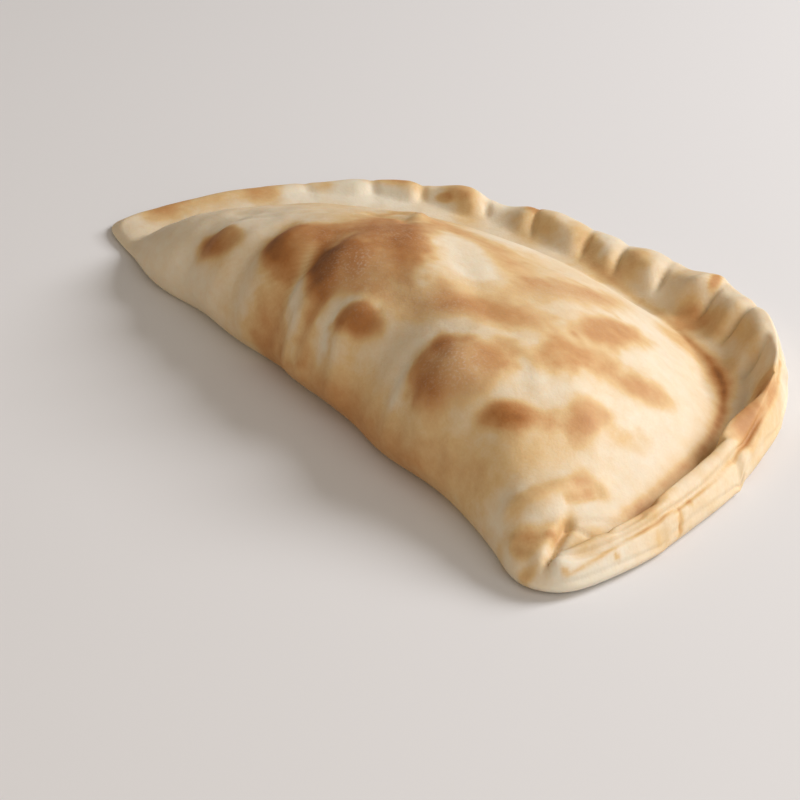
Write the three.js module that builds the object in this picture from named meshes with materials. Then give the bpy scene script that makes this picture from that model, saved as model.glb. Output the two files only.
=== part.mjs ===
import * as THREE from 'three';

// A baked calzone, whole and uncut: a half-moon of dough with a bulging straight fold,
// a filled dome and a rolled, crimped rim. Millimetres, +Z up. While it is laid out, x runs
// along the fold, y from the fold to the rim, and the base lies on z = 0.

// ---- plan outline ----
const HUB = { x: -4, y: 58 };          // the columns of the surface run from the rim to here
const RIM_CENTRE_X = -13;              // the rim is half an ellipse standing on the fold line
const RIM_HALF_LENGTH = 153;
const RIM_REACH = 158;
const CORNER_SHARPNESS = 14;           // how tightly the two ends of the fold are rounded
// out-of-round of the hand-rolled rim: [bearing from the hub in degrees, swelling in mm]
const RIM_SWELLS = [
  [-20, -1.3], [-5, -3.2], [10, -1.7], [25, 0.1], [40, 2.4], [55, 3.7], [70, 2.2], [85, -1.5],
  [100, -4.7], [115, -5.3], [130, -3.1], [145, 1.5], [160, 5.2], [175, 5.5], [190, 3.5], [203, -2.5],
];
const RIM_SWELL_SPREAD = 12;
// waviness of the fold line: [position along the fold, shift in mm, spread in mm]
const FOLD_WAVES = [
  [127, -10, 18], [-150, 1.5, 24], [-110, -5.6, 24], [-60, -3.3, 24], [-10, -2.3, 24],
  [40, -4.9, 24], [85, -2.6, 24], [105, -4.2, 20], [136, -1.4, 24],
];
const FOLD_WAVE_FADE_Y = 30;           // the waves of the fold die out this far into the plan

// ---- rim section, by bearing from the hub in degrees ----
const BEARINGS = [-45, -25, -8, 10, 35, 65, 90, 110, 130, 150, 170, 190, 215];
const RIM_HEIGHTS = [11, 12.5, 14.4, 16.6, 17.6, 16.2, 14.6, 13.6, 12.6, 10.2, 8.4, 6.4, 5];
const RIM_WIDTHS = [15, 15, 14.4, 16.5, 22, 29, 28, 25, 22, 19, 16, 13, 12];
const VALLEY_HEIGHTS = [9.5, 9, 6.8, 5.4, 5.4, 6.4, 7.5, 8, 7.5, 7, 6.5, 5.5, 5];
const VALLEY_SHARES = [0, 0.3, 0.9, 1, 1, 1, 1, 1, 1, 1, 0.6, 0.2, 0];
const INNER_FLOOR = 8;                 // what the dome rises from, well inside the rim
// crest of a rim REF_WIDTH wide: inward distance and share of the rim height
const REF_WIDTH = 20;
const CREST_INWARD = [0, 1.2, 3, 6, 10, 14, 17.8, 20.5, 25];
const CREST_SHARE = [0.34, 0.54, 0.73, 0.91, 1, 0.93, 0.72, 0.55, 0.59];
const CREST_AT = 10;
// lean of the crest towards the outline, in mm, by bearing
const LEAN_AT = [-30, -22, -14, -9, -4, 3, 9, 14, 19, 25, 36, 50, 65, 80, 100, 160, 215];
const LEAN_MM = [0, -1, 0.5, 1.6, 0.5, 0.8, 1.5, -0.5, 1.5, 4, 6, 5, 4, 2.5, 2, 1.5, 0];
const LEAN_REACH = 5;                  // where, inward, the lean is greatest
// steepness of the slope from the crest into the valley, by bearing
const INNER_STEEP_AT = [-40, -25, -8, 25, 45, 70, 215];
const INNER_STEEP = [1, 1.2, 1.6, 1.6, 1.3, 1.1, 1];
// distances inward, in mm, over which one shape gives way to the next
const RIM_WIDTH_TAKES_OVER = [0, 12];
const CREST_TO_VALLEY = [10, 21];
const CREST_TO_DOME = [10, 40];        // where there is no valley
const VALLEY_TO_INNER_FLOOR = [40, 75];
const DOME_TAKES_OVER = [8, 27];
const LUMPS_FADE = [26, 14];
// lumps baked into the rim: [bearing, height in mm, spread in degrees]
const RIM_LUMPS = [
  [160, 1.2, 3.5], [155, 1, 3], [146, 1.9, 4], [137, -2.4, 4], [125, 1.2, 4.5],
  [105, -0.8, 3.5], [98, 0.6, 3], [86, -1.4, 4], [76, 1.6, 2.6], [69, -0.6, 3], [58, 1.5, 4],
];
// bearings where one turn of the rolled rim laps over the last
const FLAP_BEARINGS = [-60, -27, -10, 9, 30, 47, 61, 73, 90, 104, 115, 130, 141, 153, 161, 171, 190, 230];
// slant of the edge of a lap, in degrees of bearing for each mm inward, by bearing
const FLAP_SLANT_AT = [-30, -10, 11, 33, 48, 90, 120, 200];
const FLAP_SLANT = [1.2, 1.1, 1.2, 0.9, 0.5, 0.4, 0.1, -0.1];
const FLAP_SLANT_FROM = 8;             // distance inward where the bearings above are met
const FLAP_HEIGHT = 1;
const FLAP_WIDTH_SHARE = 0.22;
const FLAP_STEP = 0.2;                 // share of a lap taken by its step up
const FLAP_MEAN = 0.43;                // mean height of a lap, as a share of its step
const FLAPS_START = [-26, -16];        // bearings over which the laps begin
const FLAPS_END = [192, 165];
// on the near half the laps show on the inner side of the rim only
const INNER_FLAPS_END = [60, 45];      // bearings
const INNER_FLAPS_FADE = [9, 5];       // distances inward

// ---- dome ----
const DOME_HEIGHT = 46.5;
const DOME_CENTRE_X = 5;
const DOME_HALF_FAR = 148;
const DOME_HALF_NEAR = 124;
const DOME_REACH = 125;
const DOME_ROUNDNESS = 2.1;
const DOME_FULLNESS = 2.7;
const DOME_SHOULDER = 1.1;
// fold wall: rises as one minus a power of the distance from the fold line
const WALL_POWER = 2.3;
const WALL_BULGE = 0.37;
const WALL_REACH_LOW = 10;
const WALL_REACH_TALL = 42;

// pillows along the fold, steep towards the far end and gentle towards the near end:
// [x, y, steep half-length, gentle half-length, half-width, turn in degrees, height in mm]
const PILLOWS = [
  [-76, 9, 10, 17, 9, 0, 3.2], [-46, 14, 8, 18, 12, 5, 3.8], [-19, 17, 7, 26, 15, 10, 5],
  [8, 8, 6, 12, 7, 10, 3.8], [56, 12, 10, 15, 13, 15, 5.4], [84, 14, 8, 10, 7, 35, 2.2],
];
const PILLOW_SAG = 2;                  // they reach this many times further down the fold wall
// blisters and dips: [x, y, half-length, half-width, turn in degrees, height in mm]
const BLISTERS = [
  [-117, 12, 16, 11, 0, 1.6], [69, 47, 20, 13, -20, 1.8], [90, 36, 14, 8, -20, 1.5],
  [74, 76, 16, 9, -40, 1.4], [38, 68, 18, 9, -20, 1.3], [54, 79, 14, 9, -35, 1.2],
  [-19, 42, 24, 17, 20, 2.2], [-40, 63, 9, 6, 0, 1.4], [-4, 62, 20, 10, -10, 1.2],
  [10, 34, 22, 10, -15, 1.2], [113, 12, 12, 4, 75, 1.1], [108, 3, 7, 5, 0, 0.8],
  [-58, 5, 5, 16, 0, -1.4], [-30, 8, 4.5, 15, 10, -1.6], [-4, 4, 4, 11, 0, -1.1],
  [25, 6, 9, 16, 0, -1.8], [30, 40, 24, 6, -15, -1.2], [100, 20, 9, 20, -20, -0.8],
  [-95, 8, 8, 14, 0, -1], [64, 108, 13, 6, -35, -2], [2, 126, 12, 5, -10, -1.6],
  [-13, 46, 26, 8, -31, 1.1],
];
const BLISTERS_RISE = [1, 9];          // heights above the base over which they come in
// rolled nose at the near end of the fold, and the groove between nose and rim with its lip
const NOSE = { x: 132, y: -4, z: 9.5, rx: 7, ry: 6, rz: 5, height: 2.2 };
const GROOVE = { x0: 120, y0: 10.5, x1: 129.5, y1: -5.5, depth: 2.6, width: 2 };
const GROOVE_ENDS = { start: [-2, 3], end: [3, -2], low: [4, 8] };
const LIP = { height: 0.7, aside: -3.4, width: 2 };
// seam where the rolled edge lies on the lower layer of dough, on the upper part of the face:
// its distance inward, in mm, by bearing
const SEAM_AT = [-25, -19, -12, -8, -3, 5, 12, 20, 52];
const SEAM_INWARD = [3.6, 3.5, 3.5, 3.4, 3.2, 3.3, 3.4, 3.5, 3.4];
const SEAM_SPREAD = 0.9;
const SEAM_DEPTH = 1.3;
const SEAM_START = [-27, -21];         // bearings over which the seam opens
const SEAM_END = [52, 40];
const SEAM_ABOVE = [0.45, 0.6];        // it stays above this share of the height
const LOWER_LAYER_STEP = 0.8;          // how far the lower layer stands proud
const LOWER_LAYER_EDGE = [0, -0.8];    // distance inward from the seam

// ---- outer face: inward distance and share of the local height at each key station ----
const FACE_KEYS = [
  [5, 0], [1.4, 0.1], [0, 0.28], [0.5, 0.45], [2.6, 0.68], [6, 0.88],
  [9, 1], [11.2, 1], [14, 1], [18, 1], [24, 1],
];
const LOCAL_HEIGHT_AT = 9;             // the local height is read this far inside the outline
const FACE_TOP_KEY = 3;                // past this key the height of the crown takes over
const CROWN_TAKES_OVER = [0.6, 4.5];
const FACE_TILT = 0.4;                 // upward lean of the outer face, for its relief
const LEAST_LEAN = 0.35;               // limit on how far a column may lean from the normal
const LOWEST_TOP = 0.3;                // relief never reaches down to the base

// ---- facets ----
const COLUMNS = 150;
const STEPS_PER_KEY = 2;
const DOME_ROWS = 15;
const FOLD_START = -26;                // bearing of the first column
const RIM_COLUMNS_START = [-38, -30];  // bearings over which the closer rim columns begin
const RIM_COLUMNS_END = [225, 200];
const TIP_CLOSENESS = 2;               // extra columns round the near end of the fold
const TIP_SPREAD = 8;
const FINE_OUTLINE = 2400;             // steps round the outline that columns are shared out on
const SLOPE_PROBE = 0.8;               // half-step for slopes of the top, in mm
const ANGLE_PROBE = 0.01;              // and of the rim, in radians
const OUTLINE_PROBE = 0.001;
const EVEN_OUT_COLUMNS = 8;
const EVEN_OUT_PASSES = 2;

const RAD = Math.PI / 180;
const clamp = (v, lo, hi) => Math.min(hi, Math.max(lo, v));
const ease = (a, b, x) => {
  const t = clamp((x - a) / (b - a), 0, 1);
  return t * t * (3 - 2 * t);
};
const bell = (x, centre, spread) => Math.exp(-(((x - centre) / spread) ** 2));
const bearingOf = (angle) => (((angle / RAD + 90) % 360) + 360) % 360 - 90;

// smooth value of a table at x, from a cubic with finite-difference slopes
function tableAt(x, xs, values) {
  const last = xs.length - 1;
  const slope = (i) => {
    if (i === 0) return (values[1] - values[0]) / (xs[1] - xs[0]);
    if (i === last) return (values[last] - values[last - 1]) / (xs[last] - xs[last - 1]);
    const before = xs[i] - xs[i - 1];
    const after = xs[i + 1] - xs[i];
    const rise = (values[i + 1] - values[i]) / after;
    const run = (values[i] - values[i - 1]) / before;
    return (rise * before + run * after) / (before + after);
  };
  const at = clamp(x, xs[0], xs[last]);
  let i = 0;
  while (i < last - 1 && at >= xs[i + 1]) i += 1;
  const span = xs[i + 1] - xs[i];
  const u = (at - xs[i]) / span;
  const v = 1 - u;
  return values[i] * (1 + 2 * u) * v * v + values[i + 1] * (3 - 2 * u) * u * u
    + span * u * v * (slope(i) * v - slope(i + 1) * u);
}

function foldLine(x) {
  return FOLD_WAVES.reduce((sum, [at, shift, spread]) => sum + shift * bell(x, at, spread), 0);
}

function rimSwell(bearing) {
  return RIM_SWELLS.reduce((sum, [at, mm]) => sum + mm * bell(bearing, at, RIM_SWELL_SPREAD), 0);
}

// distance from the hub to the rim ellipse along one direction
function ellipseRay(angle) {
  const c = Math.cos(angle);
  const s = Math.sin(angle);
  const px = HUB.x - RIM_CENTRE_X;
  const ax = RIM_HALF_LENGTH ** 2;
  const ay = RIM_REACH ** 2;
  const a = (c * c) / ax + (s * s) / ay;
  const b = 2 * ((px * c) / ax + (HUB.y * s) / ay);
  const k = (px * px) / ax + (HUB.y * HUB.y) / ay - 1;
  return (-b + Math.sqrt(b * b - 4 * a * k)) / (2 * a);
}

// point of the outline seen from the hub: the ellipse cut off by the fold line
function outlinePoint(angle) {
  const line = Math.max(0, -Math.sin(angle)) / HUB.y;
  const blend = ellipseRay(angle) ** -CORNER_SHARPNESS + line ** CORNER_SHARPNESS;
  const r = blend ** (-1 / CORNER_SHARPNESS) + rimSwell(bearingOf(angle));
  const x = HUB.x + r * Math.cos(angle);
  const y = HUB.y + r * Math.sin(angle);
  return { x, y: y + foldLine(x) * ease(FOLD_WAVE_FADE_Y, 0, y) };
}

// inward distance from the rim, measured square to the ellipse
function rimDistance(x, y) {
  const angle = Math.atan2(y - HUB.y, x - HUB.x);
  const r = Math.hypot(x - HUB.x, y - HUB.y);
  const ray = ellipseRay(angle);
  const slope = (ellipseRay(angle + ANGLE_PROBE) - ellipseRay(angle - ANGLE_PROBE)) / (2 * ANGLE_PROBE);
  const bearing = bearingOf(angle);
  const lean = 1 / Math.sqrt(1 + (slope / ray) ** 2);
  return { inward: (ray + rimSwell(bearing) - r) * lean, bearing };
}

// one lap of the rolled rim, with slanted edges: a quick step up, then a slow fall to the next lap
function flapAt(bearing, inward) {
  const slant = tableAt(bearing, FLAP_SLANT_AT, FLAP_SLANT);
  const turned = bearing + slant * (inward - FLAP_SLANT_FROM);
  let i = 0;
  while (i < FLAP_BEARINGS.length - 2 && turned >= FLAP_BEARINGS[i + 1]) i += 1;
  const u = (turned - FLAP_BEARINGS[i]) / (FLAP_BEARINGS[i + 1] - FLAP_BEARINGS[i]);
  const ends = ease(...FLAPS_START, bearing) * ease(...FLAPS_END, bearing);
  const lift = ease(0, FLAP_STEP, u) * (1 - ease(FLAP_STEP, 1, u));
  const shown = 1 - ease(...INNER_FLAPS_END, bearing) * ease(...INNER_FLAPS_FADE, inward);
  return (FLAP_MEAN + (lift - FLAP_MEAN) * shown) * ends;
}

function domeShare(x, y) {
  const half = x < DOME_CENTRE_X ? DOME_HALF_FAR : DOME_HALF_NEAR;
  const along = Math.abs((x - DOME_CENTRE_X) / half) ** DOME_ROUNDNESS;
  const across = (Math.max(y, 0) / DOME_REACH) ** DOME_ROUNDNESS;
  const gauge = (along + across) ** (1 / DOME_ROUNDNESS);
  return clamp(1 - gauge ** DOME_FULLNESS, 0, 1) ** DOME_SHOULDER;
}

// height of rim, valley and dome before the fold rounds them off
function crownHeight(x, y) {
  const { inward, bearing } = rimDistance(x, y);
  const lumps = RIM_LUMPS.reduce((sum, [at, mm, spread]) => sum + mm * bell(bearing, at, spread), 0);
  const local = ease(...LUMPS_FADE, inward);
  const lap = (flapAt(bearing, inward) - FLAP_MEAN) * local;
  const rim = tableAt(bearing, BEARINGS, RIM_HEIGHTS) + lumps * local + FLAP_HEIGHT * lap;
  const width = tableAt(bearing, BEARINGS, RIM_WIDTHS) * (1 + FLAP_WIDTH_SHARE * lap);
  const inner = ease(...VALLEY_TO_INNER_FLOOR, inward);
  const valley = tableAt(bearing, BEARINGS, VALLEY_HEIGHTS) * (1 - inner) + INNER_FLOOR * inner;
  const dip = tableAt(bearing, BEARINGS, VALLEY_SHARES);
  const widening = (width / REF_WIDTH - 1) * ease(...RIM_WIDTH_TAKES_OVER, inward);
  const straight = Math.max(inward, 0) / (1 + widening);
  const lean = tableAt(bearing, LEAN_AT, LEAN_MM);
  const leaned = straight + lean * (straight / LEAN_REACH) * Math.exp(1 - straight / LEAN_REACH);
  const beyond = Math.max(leaned - CREST_AT, 0);
  const scaled = leaned + beyond * (tableAt(bearing, INNER_STEEP_AT, INNER_STEEP) - 1);
  const past = ease(...CREST_TO_VALLEY, scaled);
  let crest = tableAt(scaled, CREST_INWARD, CREST_SHARE) * rim * (1 - past) + valley * past;
  if (scaled > CREST_TO_DOME[0]) {
    const plain = rim + (valley - rim) * ease(...CREST_TO_DOME, scaled);
    crest = crest * dip + plain * (1 - dip);
  }
  return crest + (DOME_HEIGHT - valley) * domeShare(x, y) * ease(...DOME_TAKES_OVER, scaled);
}

function topHeight(x, y) {
  const crown = crownHeight(x, y);
  const reach = WALL_REACH_LOW + (WALL_REACH_TALL * crown) / DOME_HEIGHT;
  const t = clamp(1 - Math.max(y - foldLine(x), 0) / reach, 0, 1);
  return crown * (1 - t ** WALL_POWER) ** WALL_BULGE;
}

// bell with a steep side and a gentle side along the fold, that sags down the fold's wall
function pillow(x, y, [cx, cy, steep, gentle, across, turn, height]) {
  const c = Math.cos(turn * RAD);
  const s = Math.sin(turn * RAD);
  const along = (x - cx) * c + (y - cy) * s;
  const aside = -(x - cx) * s + (y - cy) * c;
  const u = along / (along < 0 ? steep : gentle);
  const v = aside / (aside < 0 ? across * PILLOW_SAG : across);
  return height * Math.exp(-(u * u + v * v));
}

// pillows, blisters, nose and groove, as an offset along the surface normal
function relief(x, y, z) {
  let offset = PILLOWS.reduce((sum, shape) => sum + pillow(x, y, shape), 0);
  for (const [cx, cy, rx, ry, turn, height] of BLISTERS) {
    const c = Math.cos(turn * RAD);
    const s = Math.sin(turn * RAD);
    const u = ((x - cx) * c + (y - cy) * s) / rx;
    const v = (-(x - cx) * s + (y - cy) * c) / ry;
    offset += height * Math.exp(-(u * u + v * v));
  }
  offset *= ease(...BLISTERS_RISE, z);
  offset += NOSE.height * bell(x, NOSE.x, NOSE.rx) * bell(y, NOSE.y, NOSE.ry) * bell(z, NOSE.z, NOSE.rz);
  const length = Math.hypot(GROOVE.x1 - GROOVE.x0, GROOVE.y1 - GROOVE.y0);
  const dx = (GROOVE.x1 - GROOVE.x0) / length;
  const dy = (GROOVE.y1 - GROOVE.y0) / length;
  const along = (x - GROOVE.x0) * dx + (y - GROOVE.y0) * dy;
  const aside = -(x - GROOVE.x0) * dy + (y - GROOVE.y0) * dx;
  const { start, end, low } = GROOVE_ENDS;
  const stretch = ease(...start, along) * ease(...end, along - length) * ease(...low, z);
  offset -= GROOVE.depth * bell(aside, 0, GROOVE.width) * stretch;
  return offset + LIP.height * bell(aside, LIP.aside, LIP.width) * stretch;
}

// seam and lower layer of dough on the outer face of the near rim
function seamRelief(share, inward, bearing) {
  const stretch = ease(...SEAM_START, bearing) * ease(...SEAM_END, bearing);
  const past = inward - tableAt(bearing, SEAM_AT, SEAM_INWARD);
  const groove = -SEAM_DEPTH * bell(past, 0, SEAM_SPREAD);
  const step = LOWER_LAYER_STEP * ease(...LOWER_LAYER_EDGE, past);
  return (groove + step) * stretch * ease(...SEAM_ABOVE, share);
}

// columns of the surface, closer together round the rim than along the fold
function layOutColumns() {
  const angles = [];
  const run = [0];
  let before = outlinePoint(FOLD_START * RAD);
  angles.push(FOLD_START * RAD);
  for (let i = 1; i <= FINE_OUTLINE; i += 1) {
    const angle = (FOLD_START + (360 * i) / FINE_OUTLINE) * RAD;
    const point = outlinePoint(angle);
    const bearing = bearingOf(angle);
    const closeness = 1 + ease(...RIM_COLUMNS_START, bearing) * ease(...RIM_COLUMNS_END, bearing)
      + TIP_CLOSENESS * bell(bearing, FOLD_START, TIP_SPREAD);
    run.push(run[i - 1] + Math.hypot(point.x - before.x, point.y - before.y) * closeness);
    angles.push(angle);
    before = point;
  }
  const columns = [];
  let at = 0;
  for (let c = 0; c < COLUMNS; c += 1) {
    const target = (run[FINE_OUTLINE] * c) / COLUMNS;
    while (run[at + 1] < target) at += 1;
    const share = (target - run[at]) / (run[at + 1] - run[at]);
    columns.push(describeColumn(angles[at] + (angles[at + 1] - angles[at]) * share));
  }
  const stretch = evenOut(columns.map((column) => 1 / column.lean));
  return columns.map((column, c) => ({ ...column, stretch: stretch[c] }));
}

// running average round the closed ring of columns
function evenOut(values) {
  let ring = values;
  for (let pass = 0; pass < EVEN_OUT_PASSES; pass += 1) {
    ring = ring.map((_, c) => {
      let sum = 0;
      for (let k = -EVEN_OUT_COLUMNS; k <= EVEN_OUT_COLUMNS; k += 1) {
        sum += ring[(c + k + COLUMNS) % COLUMNS];
      }
      return sum / (2 * EVEN_OUT_COLUMNS + 1);
    });
  }
  return ring;
}

function describeColumn(angle) {
  const here = outlinePoint(angle);
  const next = outlinePoint(angle + OUTLINE_PROBE);
  const step = Math.hypot(next.x - here.x, next.y - here.y);
  const normal = { x: -(next.y - here.y) / step, y: (next.x - here.x) / step };
  const reach = Math.hypot(HUB.x - here.x, HUB.y - here.y);
  const ray = { x: (HUB.x - here.x) / reach, y: (HUB.y - here.y) / reach };
  const lean = Math.max(normal.x * ray.x + normal.y * ray.y, LEAST_LEAN);
  const tall = topHeight(here.x + normal.x * LOCAL_HEIGHT_AT, here.y + normal.y * LOCAL_HEIGHT_AT);
  return { here, ray, lean, tall };
}

// smooth curve through the key stations of the outer face
function faceStation(s) {
  const last = FACE_KEYS.length - 1;
  const i = Math.min(Math.floor(s), last - 1);
  const u = s - i;
  const key = (k, axis) => {
    if (k < 0) return 2 * FACE_KEYS[0][axis] - FACE_KEYS[1][axis];
    if (k > last) return 2 * FACE_KEYS[last][axis] - FACE_KEYS[last - 1][axis];
    return FACE_KEYS[k][axis];
  };
  return [0, 1].map((axis) => {
    const [a, b, c, d] = [key(i - 1, axis), key(i, axis), key(i + 1, axis), key(i + 2, axis)];
    return 0.5 * (2 * b + (c - a) * u + (2 * a - 5 * b + 4 * c - d) * u * u
      + (3 * b - a - 3 * c + d) * u ** 3);
  });
}

function upwardNormal(x, y) {
  const gx = (topHeight(x + SLOPE_PROBE, y) - topHeight(x - SLOPE_PROBE, y)) / (2 * SLOPE_PROBE);
  const gy = (topHeight(x, y + SLOPE_PROBE) - topHeight(x, y - SLOPE_PROBE)) / (2 * SLOPE_PROBE);
  return new THREE.Vector3(-gx, -gy, 1).normalize();
}

// one column from the contact edge up the outer face, over the rim and on to the hub
function traceColumn(column) {
  const faceRows = (FACE_KEYS.length - 1) * STEPS_PER_KEY;
  const { here, ray, stretch, tall } = column;
  const points = [];
  for (let row = 0; row <= faceRows; row += 1) {
    const [inward, share] = faceStation(row / STEPS_PER_KEY);
    const x = here.x + ray.x * inward * stretch;
    const y = here.y + ray.y * inward * stretch;
    const over = row / STEPS_PER_KEY > FACE_TOP_KEY ? ease(...CROWN_TAKES_OVER, inward) : 0;
    const z = share * tall * (1 - over) + topHeight(x, y) * over;
    const bearing = bearingOf(Math.atan2(y - HUB.y, x - HUB.x));
    const outward = new THREE.Vector3(-ray.x, -ray.y, FACE_TILT).normalize();
    const normal = outward.lerp(upwardNormal(x, y), over).normalize();
    const offset = relief(x, y, z) + seamRelief(z / tall, inward, bearing);
    const point = new THREE.Vector3(x, y, z).addScaledVector(normal, row === 0 ? 0 : offset);
    point.z = row === 0 ? 0 : Math.max(point.z, LOWEST_TOP);
    points.push(point);
  }
  const [inward] = faceStation(FACE_KEYS.length - 1);
  const x0 = here.x + ray.x * inward * stretch;
  const y0 = here.y + ray.y * inward * stretch;
  for (let row = 1; row < DOME_ROWS; row += 1) {
    const share = row / DOME_ROWS;
    const x = x0 + (HUB.x - x0) * share;
    const y = y0 + (HUB.y - y0) * share;
    const z = topHeight(x, y);
    points.push(new THREE.Vector3(x, y, z).addScaledVector(upwardNormal(x, y), relief(x, y, z)));
  }
  return points;
}

function calzoneGeometry() {
  const columns = layOutColumns().map(traceColumn);
  const rows = columns[0].length;
  const points = columns.flat();
  const crownZ = topHeight(HUB.x, HUB.y);
  const crownPoint = new THREE.Vector3(HUB.x, HUB.y, crownZ + relief(HUB.x, HUB.y, crownZ));
  points.push(crownPoint, new THREE.Vector3(HUB.x, HUB.y, 0));
  const crownIndex = points.length - 2;
  const baseIndex = points.length - 1;
  const faces = [];
  for (let c = 0; c < COLUMNS; c += 1) {
    const here = c * rows;
    const next = ((c + 1) % COLUMNS) * rows;
    for (let r = 0; r < rows - 1; r += 1) {
      faces.push(here + r, next + r, next + r + 1, here + r, next + r + 1, here + r + 1);
    }
    faces.push(here + rows - 1, next + rows - 1, crownIndex);
    faces.push(next, here, baseIndex);
  }
  const geometry = new THREE.BufferGeometry();
  geometry.setAttribute('position', new THREE.Float32BufferAttribute(points.flatMap((p) => p.toArray()), 3));
  geometry.setIndex(faces);
  geometry.computeBoundingBox();
  const middle = geometry.boundingBox.getCenter(new THREE.Vector3());
  geometry.translate(-middle.x, -middle.y, 0);
  geometry.computeVertexNormals();
  return geometry;
}

const crust = new THREE.MeshStandardMaterial({
  name: 'baked dough',
  color: 0xd9b27c,
  roughness: 0.75,
  metalness: 0,
});
const calzone = new THREE.Mesh(calzoneGeometry(), crust);
calzone.name = 'calzone';

const part = new THREE.Group();
part.name = 'calzone_part';
part.add(calzone);

export default part;
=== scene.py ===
# %% [markdown]
# # A baked calzone
# A calzone is a round of dough, folded over its filling into a half-moon, rolled shut along the
# round edge and baked. It is one piece, so it is made here as one closed surface. The steps are
# the outline in plan, the rolled rim and the filled dome, the blisters and seams that baking
# gives, the surface itself, the browning, the dough material, and last the light and the camera.

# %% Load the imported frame
import bpy
import numpy as np
from mathutils import Matrix, Vector


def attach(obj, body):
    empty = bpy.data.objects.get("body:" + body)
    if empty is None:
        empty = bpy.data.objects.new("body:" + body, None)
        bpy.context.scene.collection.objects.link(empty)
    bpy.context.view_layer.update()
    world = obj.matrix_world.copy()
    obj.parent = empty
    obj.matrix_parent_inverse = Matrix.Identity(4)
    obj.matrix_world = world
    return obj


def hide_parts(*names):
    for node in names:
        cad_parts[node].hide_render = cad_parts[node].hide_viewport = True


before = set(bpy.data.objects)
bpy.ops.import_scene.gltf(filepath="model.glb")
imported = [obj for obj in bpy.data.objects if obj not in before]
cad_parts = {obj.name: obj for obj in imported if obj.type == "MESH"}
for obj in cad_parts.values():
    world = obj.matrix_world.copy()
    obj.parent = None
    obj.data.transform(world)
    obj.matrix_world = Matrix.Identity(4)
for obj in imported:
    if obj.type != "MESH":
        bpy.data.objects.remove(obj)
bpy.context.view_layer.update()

MM = 0.001

# %% [markdown]
# ## Small curves that everything else is built from
# Baked dough has no hard edges, so almost every shape here is a sum of soft curves. Three are
# enough: a bell for a local swelling, an ease for a gradual change, and a smooth table for a
# measure that varies round the rim. Working on whole arrays keeps the script fast. Many names
# below hold a pair of numbers: the two ends of an ease.

# %% Curves for whole arrays
def ease(a, b, x):
    """0 before a, 1 after b, and the cubic 3t^2 - 2t^3 of the share t in between."""
    t = np.clip((x - a) / (b - a), 0.0, 1.0)
    return t * t * (3.0 - 2.0 * t)


def bell(x, centre, spread):
    """e to the minus square of (x - centre) / spread."""
    return np.exp(-((x - centre) / spread) ** 2)


def table(x, at, values):
    """Smooth value of a table at x: a cubic between entries, with finite-difference slopes."""
    at = np.asarray(at, float)
    values = np.asarray(values, float)
    slopes = np.gradient(values, at)
    x = np.clip(x, at[0], at[-1])
    i = np.clip(np.searchsorted(at, x, side="right") - 1, 0, len(at) - 2)
    span = at[i + 1] - at[i]
    u = (x - at[i]) / span
    v = 1.0 - u
    ends = values[i] * (1 + 2 * u) * v * v + values[i + 1] * (3 - 2 * u) * u * u
    return ends + span * u * v * (slopes[i] * v - slopes[i + 1] * u)


def bearing_of(angle):
    """Direction seen from the hub in degrees, from -90 up to 270."""
    return (np.degrees(angle) + 90.0) % 360.0 - 90.0


print("ease at the middle:", float(ease(0, 1, np.array(0.5))))

# %% [markdown]
# ## The outline in plan
# Seen from above, the crimped side is half an ellipse and the fold is a nearly straight line.
# A blend of the two rounds the corners where they meet. A hand-rolled edge is never a true
# ellipse, so a ring of small swellings is added. All of it is a distance from one hub inside the
# dough, because each direction from the hub then meets the outline exactly once.

# %% Outline, in millimetres, x along the fold and y from the fold to the rim
HUB = np.array([-4.0, 58.0])
RIM_CENTRE_X = -13.0
RIM_HALF_LENGTH = 153.0
RIM_REACH = 158.0
CORNER_SHARPNESS = 14.0
RIM_SWELL_AT = [-20, -5, 10, 25, 40, 55, 70, 85, 100, 115, 130, 145, 160, 175, 190, 203]
RIM_SWELL_MM = [-1.3, -3.2, -1.7, 0.1, 2.4, 3.7, 2.2, -1.5, -4.7, -5.3, -3.1, 1.5, 5.2, 5.5, 3.5, -2.5]
RIM_SWELL_SPREAD = 12.0
# place along the fold, shift outwards, spread
FOLD_WAVES = [
    (127, -10, 18), (-150, 1.5, 24), (-110, -5.6, 24), (-60, -3.3, 24), (-10, -2.3, 24),
    (40, -4.9, 24), (85, -2.6, 24), (105, -4.2, 20), (136, -1.4, 24),
]
FOLD_WAVE_FADE_Y = 30.0
OUTLINE_SAMPLES = 4001


def fold_line(x):
    """Shift of the fold's foot line: a sum of bells along the fold."""
    return sum(shift * bell(x, at, spread) for at, shift, spread in FOLD_WAVES)


def rim_swell(bearing):
    """Out-of-round of the rim: a sum of bells round the bearings."""
    return sum(mm * bell(bearing, at, RIM_SWELL_SPREAD) for at, mm in zip(RIM_SWELL_AT, RIM_SWELL_MM))


def ellipse_ray(angle):
    """Distance from the hub to the rim ellipse: the positive root of the quadratic for a ray."""
    c, s = np.cos(angle), np.sin(angle)
    px = HUB[0] - RIM_CENTRE_X
    ax, ay = RIM_HALF_LENGTH ** 2, RIM_REACH ** 2
    a = c * c / ax + s * s / ay
    b = 2 * (px * c / ax + HUB[1] * s / ay)
    k = px * px / ax + HUB[1] ** 2 / ay - 1
    return (-b + np.sqrt(b * b - 4 * a * k)) / (2 * a)


def outline_point(angle):
    """Outline in one direction: ellipse and fold line blended by a high power mean, then waved."""
    line = np.maximum(0, -np.sin(angle)) / HUB[1]
    blend = ellipse_ray(angle) ** -CORNER_SHARPNESS + line ** CORNER_SHARPNESS
    r = blend ** (-1 / CORNER_SHARPNESS) + rim_swell(bearing_of(angle))
    x = HUB[0] + r * np.cos(angle)
    y = HUB[1] + r * np.sin(angle)
    return x, y + fold_line(x) * ease(FOLD_WAVE_FADE_Y, 0, y)


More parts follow.
